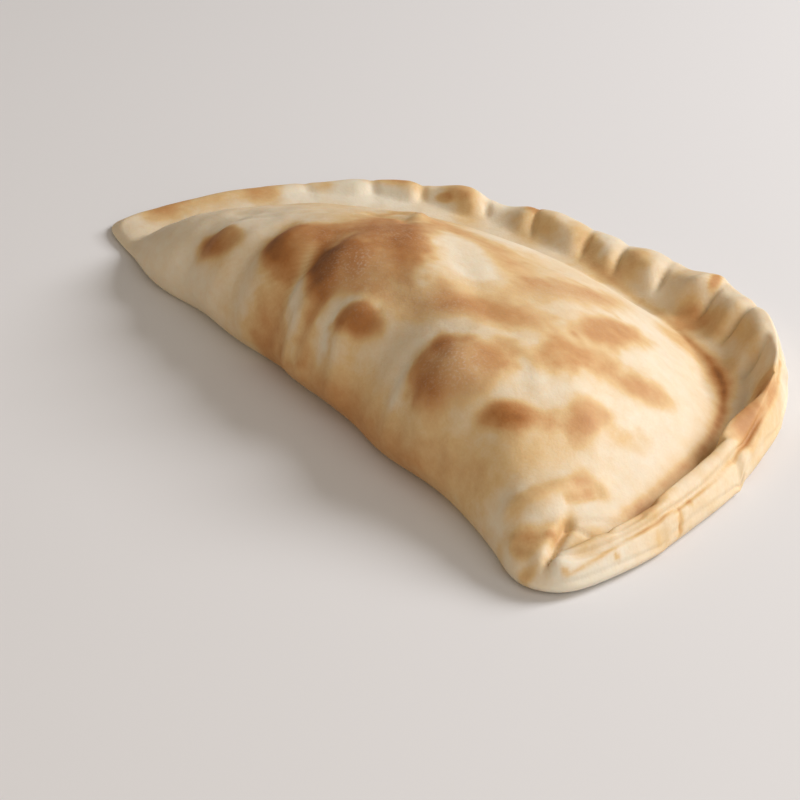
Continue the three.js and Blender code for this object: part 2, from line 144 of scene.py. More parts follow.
ring = np.array(outline_point(np.linspace(0, 2 * np.pi, OUTLINE_SAMPLES)))
PLAN_CENTRE = (ring.min(1) + ring.max(1)) / 2
print("outline, mm:", np.round(ring.max(1) - ring.min(1), 1), "centre", np.round(PLAN_CENTRE, 2))

# %% [markdown]
# ## The rolled rim
# The edge is rolled into a fat cord. Its height and width change round the half-moon, so both
# are tables by bearing, and every stretch has the same section, scaled. The crest leans in or
# out from place to place, lumps of dough swell it, and its inner side is steep near the nose. A
# profile swept along a path would do too, but a height by place melts into the dome with no join.

# %% Section of the rim, by bearing and by distance inward from the edge
BEARINGS = [-45, -25, -8, 10, 35, 65, 90, 110, 130, 150, 170, 190, 215]
RIM_HEIGHTS = [11, 12.5, 14.4, 16.6, 17.6, 16.2, 14.6, 13.6, 12.6, 10.2, 8.4, 6.4, 5]
RIM_WIDTHS = [15, 15, 14.4, 16.5, 22, 29, 28, 25, 22, 19, 16, 13, 12]
REF_WIDTH = 20.0
WIDTH_FROM = (0, 12)
CREST_INWARD = [0, 1.2, 3, 6, 10, 14, 17.8, 20.5, 25]
CREST_SHARE = [0.34, 0.54, 0.73, 0.91, 1, 0.93, 0.72, 0.55, 0.59]
CREST_AT = 10.0
LEAN_AT = [-30, -22, -14, -9, -4, 3, 9, 14, 19, 25, 36, 50, 65, 80, 100, 160, 215]
LEAN_MM = [0, -1, 0.5, 1.6, 0.5, 0.8, 1.5, -0.5, 1.5, 4, 6, 5, 4, 2.5, 2, 1.5, 0]
LEAN_REACH = 5.0
INNER_STEEP_AT = [-40, -25, -8, 25, 45, 70, 215]
INNER_STEEP = [1, 1.3, 2.1, 2.1, 1.4, 1.1, 1]
# bearing, height, spread
RIM_LUMPS = [
    (160, 1.2, 3.5), (155, 1, 3), (146, 1.9, 4), (137, -2.4, 4), (125, 1.2, 4.5), (105, -0.8, 3.5),
    (98, 0.6, 3), (86, -1.4, 4), (76, 1.6, 2.6), (69, -0.6, 3), (58, 1.5, 4),
]


def rim_distance(x, y):
    """Distance inward from the rim, square to the ellipse, and the bearing of the point."""
    angle = np.arctan2(y - HUB[1], x - HUB[0])
    r = np.hypot(x - HUB[0], y - HUB[1])
    ray, probe = ellipse_ray(angle), 0.01
    slope = (ellipse_ray(angle + probe) - ellipse_ray(angle - probe)) / (2 * probe)
    bearing = bearing_of(angle)
    return (ray + rim_swell(bearing) - r) / np.sqrt(1 + (slope / ray) ** 2), bearing


def section_place(inward, bearing, width):
    """Place on the reference section: distance over relative width, leaned, steeper past the crest."""
    place = np.maximum(inward, 0) / (1 + (width / REF_WIDTH - 1) * ease(*WIDTH_FROM, inward))
    lean = table(bearing, LEAN_AT, LEAN_MM) * (place / LEAN_REACH) * np.exp(1 - place / LEAN_REACH)
    place = place + lean
    steep = table(bearing, INNER_STEEP_AT, INNER_STEEP)
    return np.where(place > CREST_AT, CREST_AT + (place - CREST_AT) * steep, place)


print("rim heights, mm:", min(RIM_HEIGHTS), "to", max(RIM_HEIGHTS))

# %% [markdown]
# ## The laps of the rope
# Fingers roll the edge over bit by bit, and each turn lies on the last like a strand of rope. A
# lap starts with a quick step up and falls slowly to the next, with a crease at its foot. Its
# edge slants, so the bearing is shifted by the distance inward before the lap is looked up. The
# laps fade out on the smooth lower face of the near half, and towards both ends of the rim.

# %% Laps: a saw of soft steps by bearing
FLAP_BEARINGS = np.array([
    -60, -27, -10, 9, 30, 47, 61, 73, 90, 104, 115, 130, 141, 153, 161, 171, 190, 230,
])
FLAP_SLANT_AT = [-30, -10, 11, 33, 48, 90, 120, 200]
FLAP_SLANT = [1.2, 1.1, 1.2, 0.9, 0.5, 0.4, 0.1, -0.1]
FLAP_SLANT_FROM = 8.0
FLAP_STEP, FLAP_SLOWER, FLAP_SLOWER_FROM = 0.12, 2.5, 40
FLAP_CREASE, FLAP_CREASE_SPREAD = 0.55, 0.7
FLAP_SMOOTH_UP_TO, FLAP_SMOOTH_WITHIN = (60, 45), (9, 5)
FLAPS_START, FLAPS_END = (-26, -16), (192, 165)
FLAP_MEAN = 0.43
FLAP_HEIGHT = 1.0
FLAP_WIDTH_SHARE = 0.22
RIM_ONLY = (26, 14)


def flap_at(bearing, inward):
    """One lap of the rolled rim, with slanted edges: up quickly, down slowly, a crease at its foot."""
    slant = table(bearing, FLAP_SLANT_AT, FLAP_SLANT)
    turned = bearing + slant * (inward - FLAP_SLANT_FROM)
    i = np.clip(np.searchsorted(FLAP_BEARINGS, turned, side="right") - 1, 0, len(FLAP_BEARINGS) - 2)
    span = FLAP_BEARINGS[i + 1] - FLAP_BEARINGS[i]
    u = (turned - FLAP_BEARINGS[i]) / span
    rise = np.where(turned < FLAP_SLOWER_FROM, FLAP_STEP, FLAP_SLOWER * FLAP_STEP)
    nearest = np.minimum(u, 1 - u) * span
    crease = FLAP_CREASE * np.exp(-(nearest / FLAP_CREASE_SPREAD) ** 2)
    smooth = 1 - ease(*FLAP_SMOOTH_UP_TO, bearing) * ease(*FLAP_SMOOTH_WITHIN, inward)
    ends = ease(*FLAPS_START, bearing) * ease(*FLAPS_END, bearing)
    lift = ease(0, rise, u) * (1 - ease(rise, 1, u)) - crease
    return (FLAP_MEAN + (lift - FLAP_MEAN) * smooth) * ends


def rim_size(bearing, inward):
    """Height and width of the rim: tables by bearing, plus lumps, swelled by the lap."""
    local = ease(*RIM_ONLY, inward)
    lumps = sum(mm * bell(bearing, at, spread) for at, mm, spread in RIM_LUMPS)
    lap = (flap_at(bearing, inward) - FLAP_MEAN) * local
    rim = table(bearing, BEARINGS, RIM_HEIGHTS) + lumps * local + FLAP_HEIGHT * lap
    return rim, table(bearing, BEARINGS, RIM_WIDTHS) * (1 + FLAP_WIDTH_SHARE * lap)


print("laps:", len(FLAP_BEARINGS) - 1, "lumps:", len(RIM_LUMPS))

# %% [markdown]
# ## The valley, the dome and the rounded fold
# Inside the rim lies a shallow valley, and the filling lifts the rest into a dome that is
# highest close to the fold. Half a superellipse gives that shape with few numbers. The fold
# itself is a bulging wall: the height is rounded off towards it, and tall places are rounded
# over a longer reach than low ones, as a real fold is.

# %% Height of the crown by place
VALLEY_HEIGHTS = [9.5, 9, 6.8, 5.4, 5.4, 6.4, 7.5, 8, 7.5, 7, 6.5, 5.5, 5]
VALLEY_SHARES = [0, 0.3, 0.9, 1, 1, 1, 1, 1, 1, 1, 0.6, 0.2, 0]
VALLEY_FROM = (10, 21)
PLAIN_SLOPE = (10, 40)
INNER_FLOOR, INNER_FLOOR_FROM = 8.0, (40, 75)
DOME_HEIGHT = 46.5
DOME_CENTRE_X = 5.0
DOME_HALF_FAR, DOME_HALF_NEAR = 148.0, 124.0
DOME_REACH = 125.0
DOME_FROM = (8, 27)
DOME_ROUNDNESS, DOME_FULLNESS, DOME_SHOULDER = 2.1, 2.7, 1.1
WALL_POWER, WALL_BULGE = 2.3, 0.37
WALL_REACH_LOW, WALL_REACH_TALL = 10.0, 42.0


def dome_share(x, y):
    """1 at the top and 0 at the foot of a half superellipse, raised to a fullness and a shoulder."""
    half = np.where(x < DOME_CENTRE_X, DOME_HALF_FAR, DOME_HALF_NEAR)
    along = np.abs((x - DOME_CENTRE_X) / half) ** DOME_ROUNDNESS
    across = (np.maximum(y, 0) / DOME_REACH) ** DOME_ROUNDNESS
    gauge = (along + across) ** (1 / DOME_ROUNDNESS)
    return np.clip(1 - gauge ** DOME_FULLNESS, 0, 1) ** DOME_SHOULDER


def crown_height(x, y):
    """Rim section eased into the valley, plus the dome, which rises from the valley."""
    inward, bearing = rim_distance(x, y)
    rim, width = rim_size(bearing, inward)
    place = section_place(inward, bearing, width)
    inner = ease(*INNER_FLOOR_FROM, inward)
    valley = table(bearing, BEARINGS, VALLEY_HEIGHTS) * (1 - inner) + INNER_FLOOR * inner
    dip = table(bearing, BEARINGS, VALLEY_SHARES)
    past = ease(*VALLEY_FROM, place)
    crest = table(place, CREST_INWARD, CREST_SHARE) * rim * (1 - past) + valley * past
    plain = rim + (valley - rim) * ease(*PLAIN_SLOPE, place)
    crest = np.where(place > CREST_AT, crest * dip + plain * (1 - dip), crest)
    return crest + (DOME_HEIGHT - valley) * dome_share(x, y) * ease(*DOME_FROM, place)


def top_height(x, y):
    """Crown height times the rounding of the fold: one minus a power of the nearness to it."""
    crown = crown_height(x, y)
    reach = WALL_REACH_LOW + WALL_REACH_TALL * crown / DOME_HEIGHT
    t = np.clip(1 - np.maximum(y - fold_line(x), 0) / reach, 0, 1)
    return crown * (1 - t ** WALL_POWER) ** WALL_BULGE


apex = top_height(np.array([-19.0]), np.array([41.0]))
print("height near the top, mm:", np.round(apex, 1))

# %% [markdown]
# ## Tools for relief
# Blisters, creases and browning all need a way to say where they are. A round place is an
# ellipse with a gauge that is 1 on its edge. A long one is a path of a few points with the
# distance to it. Real dough is nowhere perfectly smooth, so seeded noise on a lattice is added:
# it is the same on each run and has no direction of its own.

# %% Ellipse gauge, path distance and lattice noise
LATTICE = 32


def ellipse_gauge(x, y, cx, cy, half_along, half_across, turn):
    """Squared distance from a centre in units of an ellipse's half axes, turned in degrees."""
    c, s = np.cos(np.radians(turn)), np.sin(np.radians(turn))
    u = ((x - cx) * c + (y - cy) * s) / half_along
    v = (-(x - cx) * s + (y - cy) * c) / half_across
    return u * u + v * v


def path_distance(x, y, path):
    """Distance to the nearest stretch of a path, with the side: positive to its left."""
    best = np.full_like(x, 1e9)
    side = np.ones_like(x)
    for (ax, ay), (bx, by) in zip(path[:-1], path[1:]):
        dx, dy = bx - ax, by - ay
        share = np.clip(((x - ax) * dx + (y - ay) * dy) / (dx * dx + dy * dy), 0, 1)
        away = np.hypot(x - ax - share * dx, y - ay - share * dy)
        cross = dx * (y - ay) - dy * (x - ax)
        side = np.where(away < best, np.sign(cross), side)
        best = np.minimum(best, away)
    return best, side


def lattice_noise(points, size, seed):
    """Noise from -1 to 1: seeded values on a lattice of that size, eased between its corners."""
    values = np.random.default_rng(seed).uniform(-1, 1, (LATTICE, LATTICE, LATTICE))
    q = points / size
    base = np.floor(q).astype(int)
    f = q - base
    f = f * f * (3 - 2 * f)
    total = 0.0
    for corner in np.ndindex(2, 2, 2):
        weight = np.prod(np.where(np.array(corner) == 1, f, 1 - f), axis=-1)
        at = (base + np.array(corner)) % LATTICE
        total = total + weight * values[at[..., 0], at[..., 1], at[..., 2]]
    return total


def noise_sum(points, layers):
    """Sum of layers of lattice noise, each with its strength, size and seed."""
    return sum(strength * lattice_noise(points, size, seed) for strength, size, seed in layers)


print("noise at one place:", np.round(lattice_noise(np.array([1.0, 2.0, 3.0]), 8.0, 11), 3))

# %% [markdown]
# ## Pillows, swells and hollows
# Steam lifts the dough into pillows along the fold, with hollows between them, and into flatter
# swells on top. A pillow has a steep side and a gentle one and sags down the wall, so its bell
# has its own spread on each side. Sculpting would do as well, but bells can be moved and tuned.

# %% Pillows and swells, as bells on elliptic footprints
# x, y, steep spread, gentle spread, spread across, turn, height
PILLOWS = [
    (-76, 9, 10, 17, 9, 0, 3.2), (-46, 14, 8, 18, 12, 5, 3.8), (-19, 17, 7, 26, 15, 10, 5.0),
    (8, 8, 8, 12, 7, 10, 3.4), (56, 12, 10, 15, 13, 15, 5.4), (84, 14, 8, 10, 7, 35, 2.2),
]
SAG = 2.0
# x, y, spread along, spread across, turn, height
SWELLS = [
    (-117, 12, 16, 11, 0, 1.6), (69, 47, 20, 13, -20, 1.8), (90, 36, 14, 8, -20, 1.5),
    (74, 76, 16, 9, -40, 1.4), (38, 68, 18, 9, -20, 1.3), (54, 79, 14, 9, -35, 1.2),
    (-19, 42, 24, 17, 20, 2.2), (-40, 63, 9, 6, 0, 1.4), (-4, 62, 20, 10, -10, 1.2),
    (10, 34, 22, 10, -15, 1.2), (113, 12, 12, 4, 75, 1.1), (108, 3, 7, 5, 0, 0.8),
]
HOLLOWS = [
    (-58, 5, 5, 16, 0, -1.4), (-30, 8, 4.5, 15, 10, -1.6), (-4, 4, 4, 11, 0, -1.1),
    (25, 6, 9, 16, 0, -1.8), (30, 40, 24, 6, -15, -1.2), (100, 20, 9, 20, -20, -0.8),
    (-95, 8, 8, 14, 0, -1), (64, 108, 13, 6, -35, -2), (2, 126, 12, 5, -10, -1.6),
]


def pillow(x, y, cx, cy, steep, gentle, across, turn, height):
    """A bell with a steep side and a gentle side along the fold, that sags down the fold's wall."""
    c, s = np.cos(np.radians(turn)), np.sin(np.radians(turn))
    u = (x - cx) * c + (y - cy) * s
    v = -(x - cx) * s + (y - cy) * c
    u = u / np.where(u < 0, steep, gentle)
    v = v / np.where(v < 0, across * SAG, across)
    return height * np.exp(-u * u - v * v)


print("pillows:", len(PILLOWS), "swells:", len(SWELLS), "hollows:", len(HOLLOWS))

# %% [markdown]
# ## Creases, wall folds and laps
# Where the skin of the dough has been pulled or pinched it keeps short ridges and creases. Each
# is a bell of the distance to a path. Under the pillows, upright folds hang down the wall, so
# those are bells along the fold that lean with the height. A lap is a step beside a path, where
# one layer of dough ends on another.

# %% Strokes of relief along short paths
# height, spread, path
CREASES = [
    (1.1, 8.0, [(-34, 58), (-22, 51), (-8, 43), (8, 33)]),
    (0.4, 3.0, [(47, 29), (58, 34), (70, 33), (80, 27)]),
    (-0.5, 2.6, [(-92, 20), (-80, 26), (-66, 40)]), (-0.4, 2.4, [(-84, 16), (-72, 24), (-60, 38)]),
    (0.9, 2.4, [(-54, 58), (-42, 65), (-35, 59)]), (-1.0, 2.4, [(-50, 50), (-38, 55), (-28, 50)]),
    (0.9, 3.0, [(107, -2), (110, 3), (110, 11), (109, 20), (111, 27)]),
    (-0.7, 1.6, [(115, 13), (115, 19), (114, 25)]), (0.7, 1.6, [(116, -7), (119, -2), (121, 2)]),
    (-0.9, 1.1, [(121, 9), (127, 14), (130, 20), (128, 31)]), (-0.8, 1.2, [(124, -9), (127, -11)]),
]
# place along the fold, lean, spread, height
WALL_FOLDS = [
    (-98, 0.1, 4, 0.7), (-88, 0.3, 3, -0.6), (-66, 0.2, 3.5, 0.7), (-60, 0.3, 2.5, -0.7),
    (-26, 0.15, 2.6, 1.1), (-20, 0.2, 2.2, -0.7), (-6, 0.2, 2.4, 0.9), (-11, 0.15, 2, -0.8),
    (9, 0.0, 3, 0.9), (16, -0.1, 3, -0.6), (44, 0.1, 3, 1.0), (38, 0.1, 3, -0.7),
    (72, -0.2, 4, 0.7), (86, -0.2, 5, -0.6),
]
WALL_FOLD_MIDDLE = 25.0
WALL_FOLD_LOW, WALL_FOLD_HIGH, WALL_FOLD_DEEP = (2, 12), (42, 32), (30, 18)
# height, reach, path
LAPS = [(1.0, 8.0, [(74, 103), (82, 110), (84, 119), (80, 127)])]
LAP_STEP = (-0.6, 0.8)
LAP_CREASE, LAP_CREASE_AT, LAP_CREASE_SPREAD = 0.6, -0.9, 1.1
BUMPS_FROM, LAPS_FROM = (1, 9), (6, 10)


def wall_folds(x, y, z):
    """Upright folds hanging down the wall under the pillows, as bells along the fold."""
    hang = ease(*WALL_FOLD_LOW, z) * ease(*WALL_FOLD_HIGH, z) * ease(*WALL_FOLD_DEEP, y)
    lines = [
        high * bell(x - lean * (z - WALL_FOLD_MIDDLE), at, wide)
        for at, lean, wide, high in WALL_FOLDS
    ]
    return sum(lines) * hang


def lap(x, y, height, reach, path):
    """A step up to the left of a path that dies away over its reach, with a crease at its foot."""
    away, side = path_distance(x, y, path)
    signed = away * side
    step = height * ease(*LAP_STEP, signed) * ease(reach, 0, away)
    return step - LAP_CREASE * height * bell(signed, LAP_CREASE_AT, LAP_CREASE_SPREAD)


def bumps(x, y, z):
    """Sum of pillows, swells, hollows and creases, faded out at the foot, plus folds and laps."""
    total = sum(pillow(x, y, *shape) for shape in PILLOWS)
    for cx, cy, a, b, turn, height in SWELLS + HOLLOWS:
        total = total + height * np.exp(-ellipse_gauge(x, y, cx, cy, a, b, turn))
    for height, width, path in CREASES:
        total = total + height * bell(path_distance(x, y, path)[0], 0, width)
    laps = sum(lap(x, y, *shape) for shape in LAPS) * ease(*LAPS_FROM, z)
    return total * ease(*BUMPS_FROM, z) + wall_folds(x, y, z) + laps


print("creases:", len(CREASES), "wall folds:", len(WALL_FOLDS))

# %% [markdown]
# ## The nose and its groove
# At the near end the rolled edge is tucked over and ends in a rounded nose, with a deep groove
# beside it. The nose is a bell in all three directions. The groove is a narrow bell across a
# straight line, with a small lip on one side where the dough was pushed up.

# %% Nose and groove
NOSE_CENTRE, NOSE_SPREAD, NOSE_HEIGHT = (132, -4, 9.5), (7, 6, 5), 2.2
GROOVE_FROM, GROOVE_TO = np.array([120.0, 10.5]), np.array([129.5, -5.5])
GROOVE_DEPTH, GROOVE_WIDTH = 2.6, 1.2
GROOVE_START, GROOVE_END, GROOVE_ABOVE = (-2, 3), (-3, 2), (4, 8)
LIP_HEIGHT, LIP_ASIDE, LIP_WIDTH = 0.5, -3.4, 1.8


def nose_and_groove(x, y, z):
    """Product of three bells for the nose, plus a groove with a lip across a straight line."""
    nose = NOSE_HEIGHT
    for value, centre, spread in zip((x, y, z), NOSE_CENTRE, NOSE_SPREAD):
        nose = nose * bell(value, centre, spread)
    run = GROOVE_TO - GROOVE_FROM
    length = np.hypot(*run)
    run = run / length
    along = (x - GROOVE_FROM[0]) * run[0] + (y - GROOVE_FROM[1]) * run[1]
    aside = -(x - GROOVE_FROM[0]) * run[1] + (y - GROOVE_FROM[1]) * run[0]
    stretch = ease(*GROOVE_START, along) * ease(*GROOVE_END, length - along) * ease(*GROOVE_ABOVE, z)
    groove = -GROOVE_DEPTH * bell(aside, 0, GROOVE_WIDTH) + LIP_HEIGHT * bell(aside, LIP_ASIDE, LIP_WIDTH)
    return nose + groove * stretch


print("groove length, mm:", np.round(np.hypot(*(GROOVE_TO - GROOVE_FROM)), 1))

# %% [markdown]
# ## The seam and its crack
# Along the near half the rolled layer lies on the lower one, and the line between them stays
# open. The seam is a groove at a set distance inward from the edge, and below it the lower layer
# stands a little proud. The lower layer has dried and split in one place, which is a thin upright
# crack. Both follow the bearing, because they run round the rim.

# %% Seam and crack
SEAM_AT = [-25, -19, -12, -8, -3, 5, 12, 20, 52]
SEAM_INWARD = [3.6, 3.5, 3.5, 3.4, 3.2, 3.3, 3.4, 3.5, 3.4]
SEAM_SPREAD, SEAM_DEPTH = 0.55, 1.3
SEAM_START, SEAM_END, SEAM_FROM_SHARE = (-27, -21), (52, 40), (0.45, 0.6)
LOWER_LAYER_STEP, LOWER_LAYER_EDGE = 0.8, (0, -0.8)
# bearing, lean, spread, lowest, highest
CRACKS = [(-6.4, 0.10, 0.32, 2, 11)]
CRACK_DEPTH, CRACK_FADE, CRACK_EDGE = 0.6, 2, (0.6, -0.4)


def seam_stretch(bearing):
    """1 where the seam is open, along the near half of the rim."""
    return ease(*SEAM_START, bearing) * ease(*SEAM_END, bearing)


def cracks(bearing, inward, z):
    """Upright cracks down the lower layer: bells by bearing that lean as they come down."""
    below = ease(*CRACK_EDGE, inward - table(bearing, SEAM_AT, SEAM_INWARD))
    lines = np.zeros_like(z)
    for at, lean, wide, low, high in CRACKS:
        upright = ease(low, low + CRACK_FADE, z) * ease(high, high - CRACK_FADE, z)
        lines = lines + bell(bearing, at + lean * z, wide) * upright
    return lines * below


def seam_relief(share, inward, bearing):
    """Seam where the rolled edge lies on the lower layer, and the lower layer that stands proud."""
    stretch = seam_stretch(bearing) * ease(*SEAM_FROM_SHARE, share)
    past = inward - table(bearing, SEAM_AT, SEAM_INWARD)
    groove = -SEAM_DEPTH * bell(past, 0, SEAM_SPREAD)
    return (groove + LOWER_LAYER_STEP * ease(*LOWER_LAYER_EDGE, past)) * stretch


print("seam opens from bearing", SEAM_START[0], "to", SEAM_END[0])

# %% [markdown]
# ## Laying out the grid
# The whole skin is one grid of columns and rows. A column starts at the contact edge, climbs the
# outer face, goes over the rim and runs on a straight ray to the hub. Rays never cross, so the
# grid never folds. Columns are closer round the rim, where the detail is finest. A heap of
# separate parts joined by booleans would leave sharp lines that dough doesn't have.

# %% Columns, and the curve of the outer face
# distance inward, share of the height
FACE_KEYS = np.array([
    (5, 0), (1.4, 0.10), (0, 0.28), (0.5, 0.45), (2.6, 0.68), (6, 0.88), (10.5, 1), (15.5, 1),
    (21, 1),
])
LOCAL_HEIGHT_AT = 9.0
FOLD_START = -26.0
RIM_COLUMNS_START, RIM_COLUMNS_END = (-34, -24), (225, 200)
OUTLINE_STEPS = 6001
COLUMNS, FACE_ROWS, DOME_ROWS = 560, 74, 88


def lay_out_columns(count):
    """Angles of the columns: equal steps of outline length, half as long round the rim."""
    angle = np.radians(FOLD_START) + np.linspace(0, 2 * np.pi, OUTLINE_STEPS)
    x, y = outline_point(angle)
    bearing = bearing_of((angle[1:] + angle[:-1]) / 2)
    closeness = 1 + ease(*RIM_COLUMNS_START, bearing) * ease(*RIM_COLUMNS_END, bearing)
    run = np.concatenate([[0], np.cumsum(np.hypot(np.diff(x), np.diff(y)) * closeness)])
    return np.interp(np.linspace(0, 1, count + 1)[:-1], run / run[-1], angle)


def running_mean(ring, half):
    """Mean over a window of 2 half + 1 columns round the closed ring."""
    wrapped = np.concatenate([ring[-half:], ring, ring[:half]])
    return np.convolve(wrapped, np.ones(2 * half + 1) / (2 * half + 1), "valid")


def face_curve(rows):
    """Catmull-Rom curve through the key stations: inward distance and share of the height."""
    f = np.linspace(0, 1, rows) * (len(FACE_KEYS) - 1)
    i = np.clip(f.astype(int), 0, len(FACE_KEYS) - 2)
    u = (f - i)[:, None]
    before = 2 * FACE_KEYS[:1] - FACE_KEYS[1:2]
    after = 2 * FACE_KEYS[-1:] - FACE_KEYS[-2:-1]
    keys = np.concatenate([before, FACE_KEYS, after])
    a, b, c, d = keys[i], keys[i + 1], keys[i + 2], keys[i + 3]
    cubic = (2 * a - 5 * b + 4 * c - d) * u ** 2 + (3 * b - a - 3 * c + d) * u ** 3
    return 0.5 * (2 * b + (c - a) * u + cubic)


print("columns:", len(lay_out_columns(COLUMNS)), "rows:", FACE_ROWS + DOME_ROWS)

# %% [markdown]
# ## The surface itself
# On the outer face the height is a share of the rim's, and from the rim inward it is the height
# field. The two are eased into each other, so no line shows. The relief is added last, along the
# normal, so that pillows swell outwards on the steep fold as well as on top. Two layers of noise
# give the fine unevenness that every hand-made dough has.

# %% Points, normals and fields
OUTLINE_PROBE, HEIGHT_PROBE = 0.001, 0.8
LEAST_FACING = 0.35
STRETCH_SMOOTHING = 0.0534
CROWN_FROM, LOWER_ROWS = (0.6, 4.5), 0.3
FAR_INWARD = 99.0
FACE_TILT = 0.4
# strength, size, seed
UNEVENNESS = [(0.45, 17.0, 3), (0.16, 6.0, 4)]
UNEVEN_FROM = (0, 6)
LEAST_HEIGHT = 0.05


def lay_grid():
    """Smooth grid: face rows by the key stations, then rows on straight rays to the hub."""
    angle = lay_out_columns(COLUMNS)
    x0, y0 = outline_point(angle)
    x1, y1 = outline_point(angle + OUTLINE_PROBE)
    step = np.hypot(x1 - x0, y1 - y0)
    nx, ny = -(y1 - y0) / step, (x1 - x0) / step
    reach = np.hypot(HUB[0] - x0, HUB[1] - y0)
    rx, ry = (HUB[0] - x0) / reach, (HUB[1] - y0) / reach
    stretch = 1 / np.maximum(nx * rx + ny * ry, LEAST_FACING)
    for _ in range(2):
        stretch = running_mean(stretch, int(COLUMNS * STRETCH_SMOOTHING))
    tall = top_height(x0 + nx * LOCAL_HEIGHT_AT, y0 + ny * LOCAL_HEIGHT_AT)[:, None]
    face = face_curve(FACE_ROWS)
    inward = np.repeat(face[None, :, 0], COLUMNS, 0)
    x = x0[:, None] + rx[:, None] * inward * stretch[:, None]
    y = y0[:, None] + ry[:, None] * inward * stretch[:, None]
    crown = ease(*CROWN_FROM, inward) * (np.arange(FACE_ROWS) > LOWER_ROWS * FACE_ROWS)
    z = face[None, :, 1] * tall * (1 - crown) + top_height(x, y) * crown
    share = np.linspace(0, 1, DOME_ROWS + 1)[None, 1:]
    x = np.concatenate([x, x[:, -1:] + (HUB[0] - x[:, -1:]) * share], 1)
    y = np.concatenate([y, y[:, -1:] + (HUB[1] - y[:, -1:]) * share], 1)
    z = np.concatenate([z, top_height(x[:, FACE_ROWS:], y[:, FACE_ROWS:])], 1)
    crown = np.concatenate([crown, np.ones((COLUMNS, DOME_ROWS))], 1)
    inward = np.concatenate([inward, np.full((COLUMNS, DOME_ROWS), FAR_INWARD)], 1)
    return x, y, z, crown[..., None], inward, tall, (rx, ry)


def skin_normals(x, y, crown, ray):
    """Square to the height field on top, outwards and a little up on the face, blended by share."""
    gx = (top_height(x + HEIGHT_PROBE, y) - top_height(x - HEIGHT_PROBE, y)) / (2 * HEIGHT_PROBE)
    gy = (top_height(x, y + HEIGHT_PROBE) - top_height(x, y - HEIGHT_PROBE)) / (2 * HEIGHT_PROBE)
    up = np.stack([-gx, -gy, np.ones_like(gx)], -1)
    up /= np.linalg.norm(up, axis=-1, keepdims=True)
    out = np.stack([-ray[0], -ray[1], np.full(COLUMNS, FACE_TILT)], -1)[:, None]
    out = out / np.linalg.norm(out, axis=-1, keepdims=True)
    normal = out * (1 - crown) + up * crown
    return normal / np.linalg.norm(normal, axis=-1, keepdims=True)


def calzone_surface():
    """Grid of points in mm: the smooth grid plus normal times relief. The hub is last in a column."""
    x, y, z, crown, inward, tall, ray = lay_grid()
    normal = skin_normals(x, y, crown, ray)
    bearing = bearing_of(np.arctan2(y - HUB[1], x - HUB[0]))
    points = np.stack([x, y, z], -1)
    offset = bumps(x, y, z) + nose_and_groove(x, y, z) + seam_relief(z / tall, inward, bearing)
    offset = offset - CRACK_DEPTH * cracks(bearing, inward, z)
    offset = offset + noise_sum(points, UNEVENNESS) * ease(*UNEVEN_FROM, z)
    points = points + normal * offset[..., None]
    points[:, -1] = points[:, -1].mean(0)
    points[:, 0, 2] = 0
    points[:, 1:, 2] = np.maximum(points[:, 1:, 2], LEAST_HEIGHT)
    return points, bearing


points, bearings = calzone_surface()
print("grid:", points.shape, "size, mm:", np.round(np.ptp(points.reshape(-1, 3), axis=0), 1))

# %% [markdown]
# ## Browned caps on the pillows
# An oven browns what stands highest and driest, so each pillow carries a dark cap. A cap is an
# egg with its own reach on each of its four sides, and a small core inside it is darker still.
# Each cap is also darker on the pillow's steep side, which faces away from the key lamp: that part
# is painted shade over the browning. The border is shaken by noise, so that it looks baked and not
# painted. Browned places add up like veils: each leaves a share of what was pale before.

# %% Caps: eggs on top of the pillows
# x, y, reach before, after, near, far, turn, strength, softness
CAP_TOAST = [
    (-77, 5.5, 12, 12, 5, 5.5, 6, 0.50, 0.35), (-80, 4, 9, 9, 2.6, 2.6, -16, 0.20, 0.6),
    (-43, 13, 12, 20, 8.5, 15, 0, 0.56, 0.35), (-45, 9, 11, 12, 4.4, 4.4, -15, 0.42, 0.7),
    (-15, 13, 13, 12, 9, 13, -10, 0.48, 0.35), (-20, 12, 13, 12, 4.6, 4.6, -30, 0.58, 0.5),
    (9, 5.5, 8, 10, 4, 4.5, 22, 0.54, 0.36), (13, 7, 4, 4, 3, 3, 50, 0.32, 0.6),
    (57, 11, 15, 17, 10.5, 13.5, 10, 0.44, 0.25), (56, 3, 8, 8, 4.3, 4.3, -17, 0.12, 0.6),
    (47, 14, 7, 7, 3.2, 3.2, -24, 0.34, 0.5), (62, 25, 9, 9, 6.3, 6.3, -53, 0.36, 0.6),
    (83, 14.5, 9, 10, 4.8, 4.8, 48, 0.56, 0.55), (87, 13, 4.5, 4.5, 3.8, 3.8, -26, 0.30, 0.6),
]
# The first share darkens each cap towards its steep side, away from the key lamp: painted shade.
CAP_STEEP_SIDE_SHADE, CAP_SHAKE, CAP_ABOVE = 0.3, 0.5, (10, 16)
PATCH_SHAKE = 0.25
# strength, size, seed
SHAKES = [(0.7, 8.0, 11), (0.6, 3.0, 12)]


def egg_gauge(x, y, cx, cy, before, after, near, far, turn):
    """An ellipse's gauge with its own half-length on each of four sides, and the place along it."""
    c, s = np.cos(np.radians(turn)), np.sin(np.radians(turn))
    u = (x - cx) * c + (y - cy) * s
    v = -(x - cx) * s + (y - cy) * c
    u = u / np.where(u < 0, before, after)
    return u ** 2 + (v / np.where(v < 0, near, far)) ** 2, np.clip(u, -1, 1)


def patch(gauge, strength, softness, shake):
    """Strength inside an ellipse, eased to nothing across its border, which noise pushes about."""
    r = np.sqrt(gauge) * (1 + PATCH_SHAKE * shake)
    return strength * ease(1 + softness, 1 - softness, r)


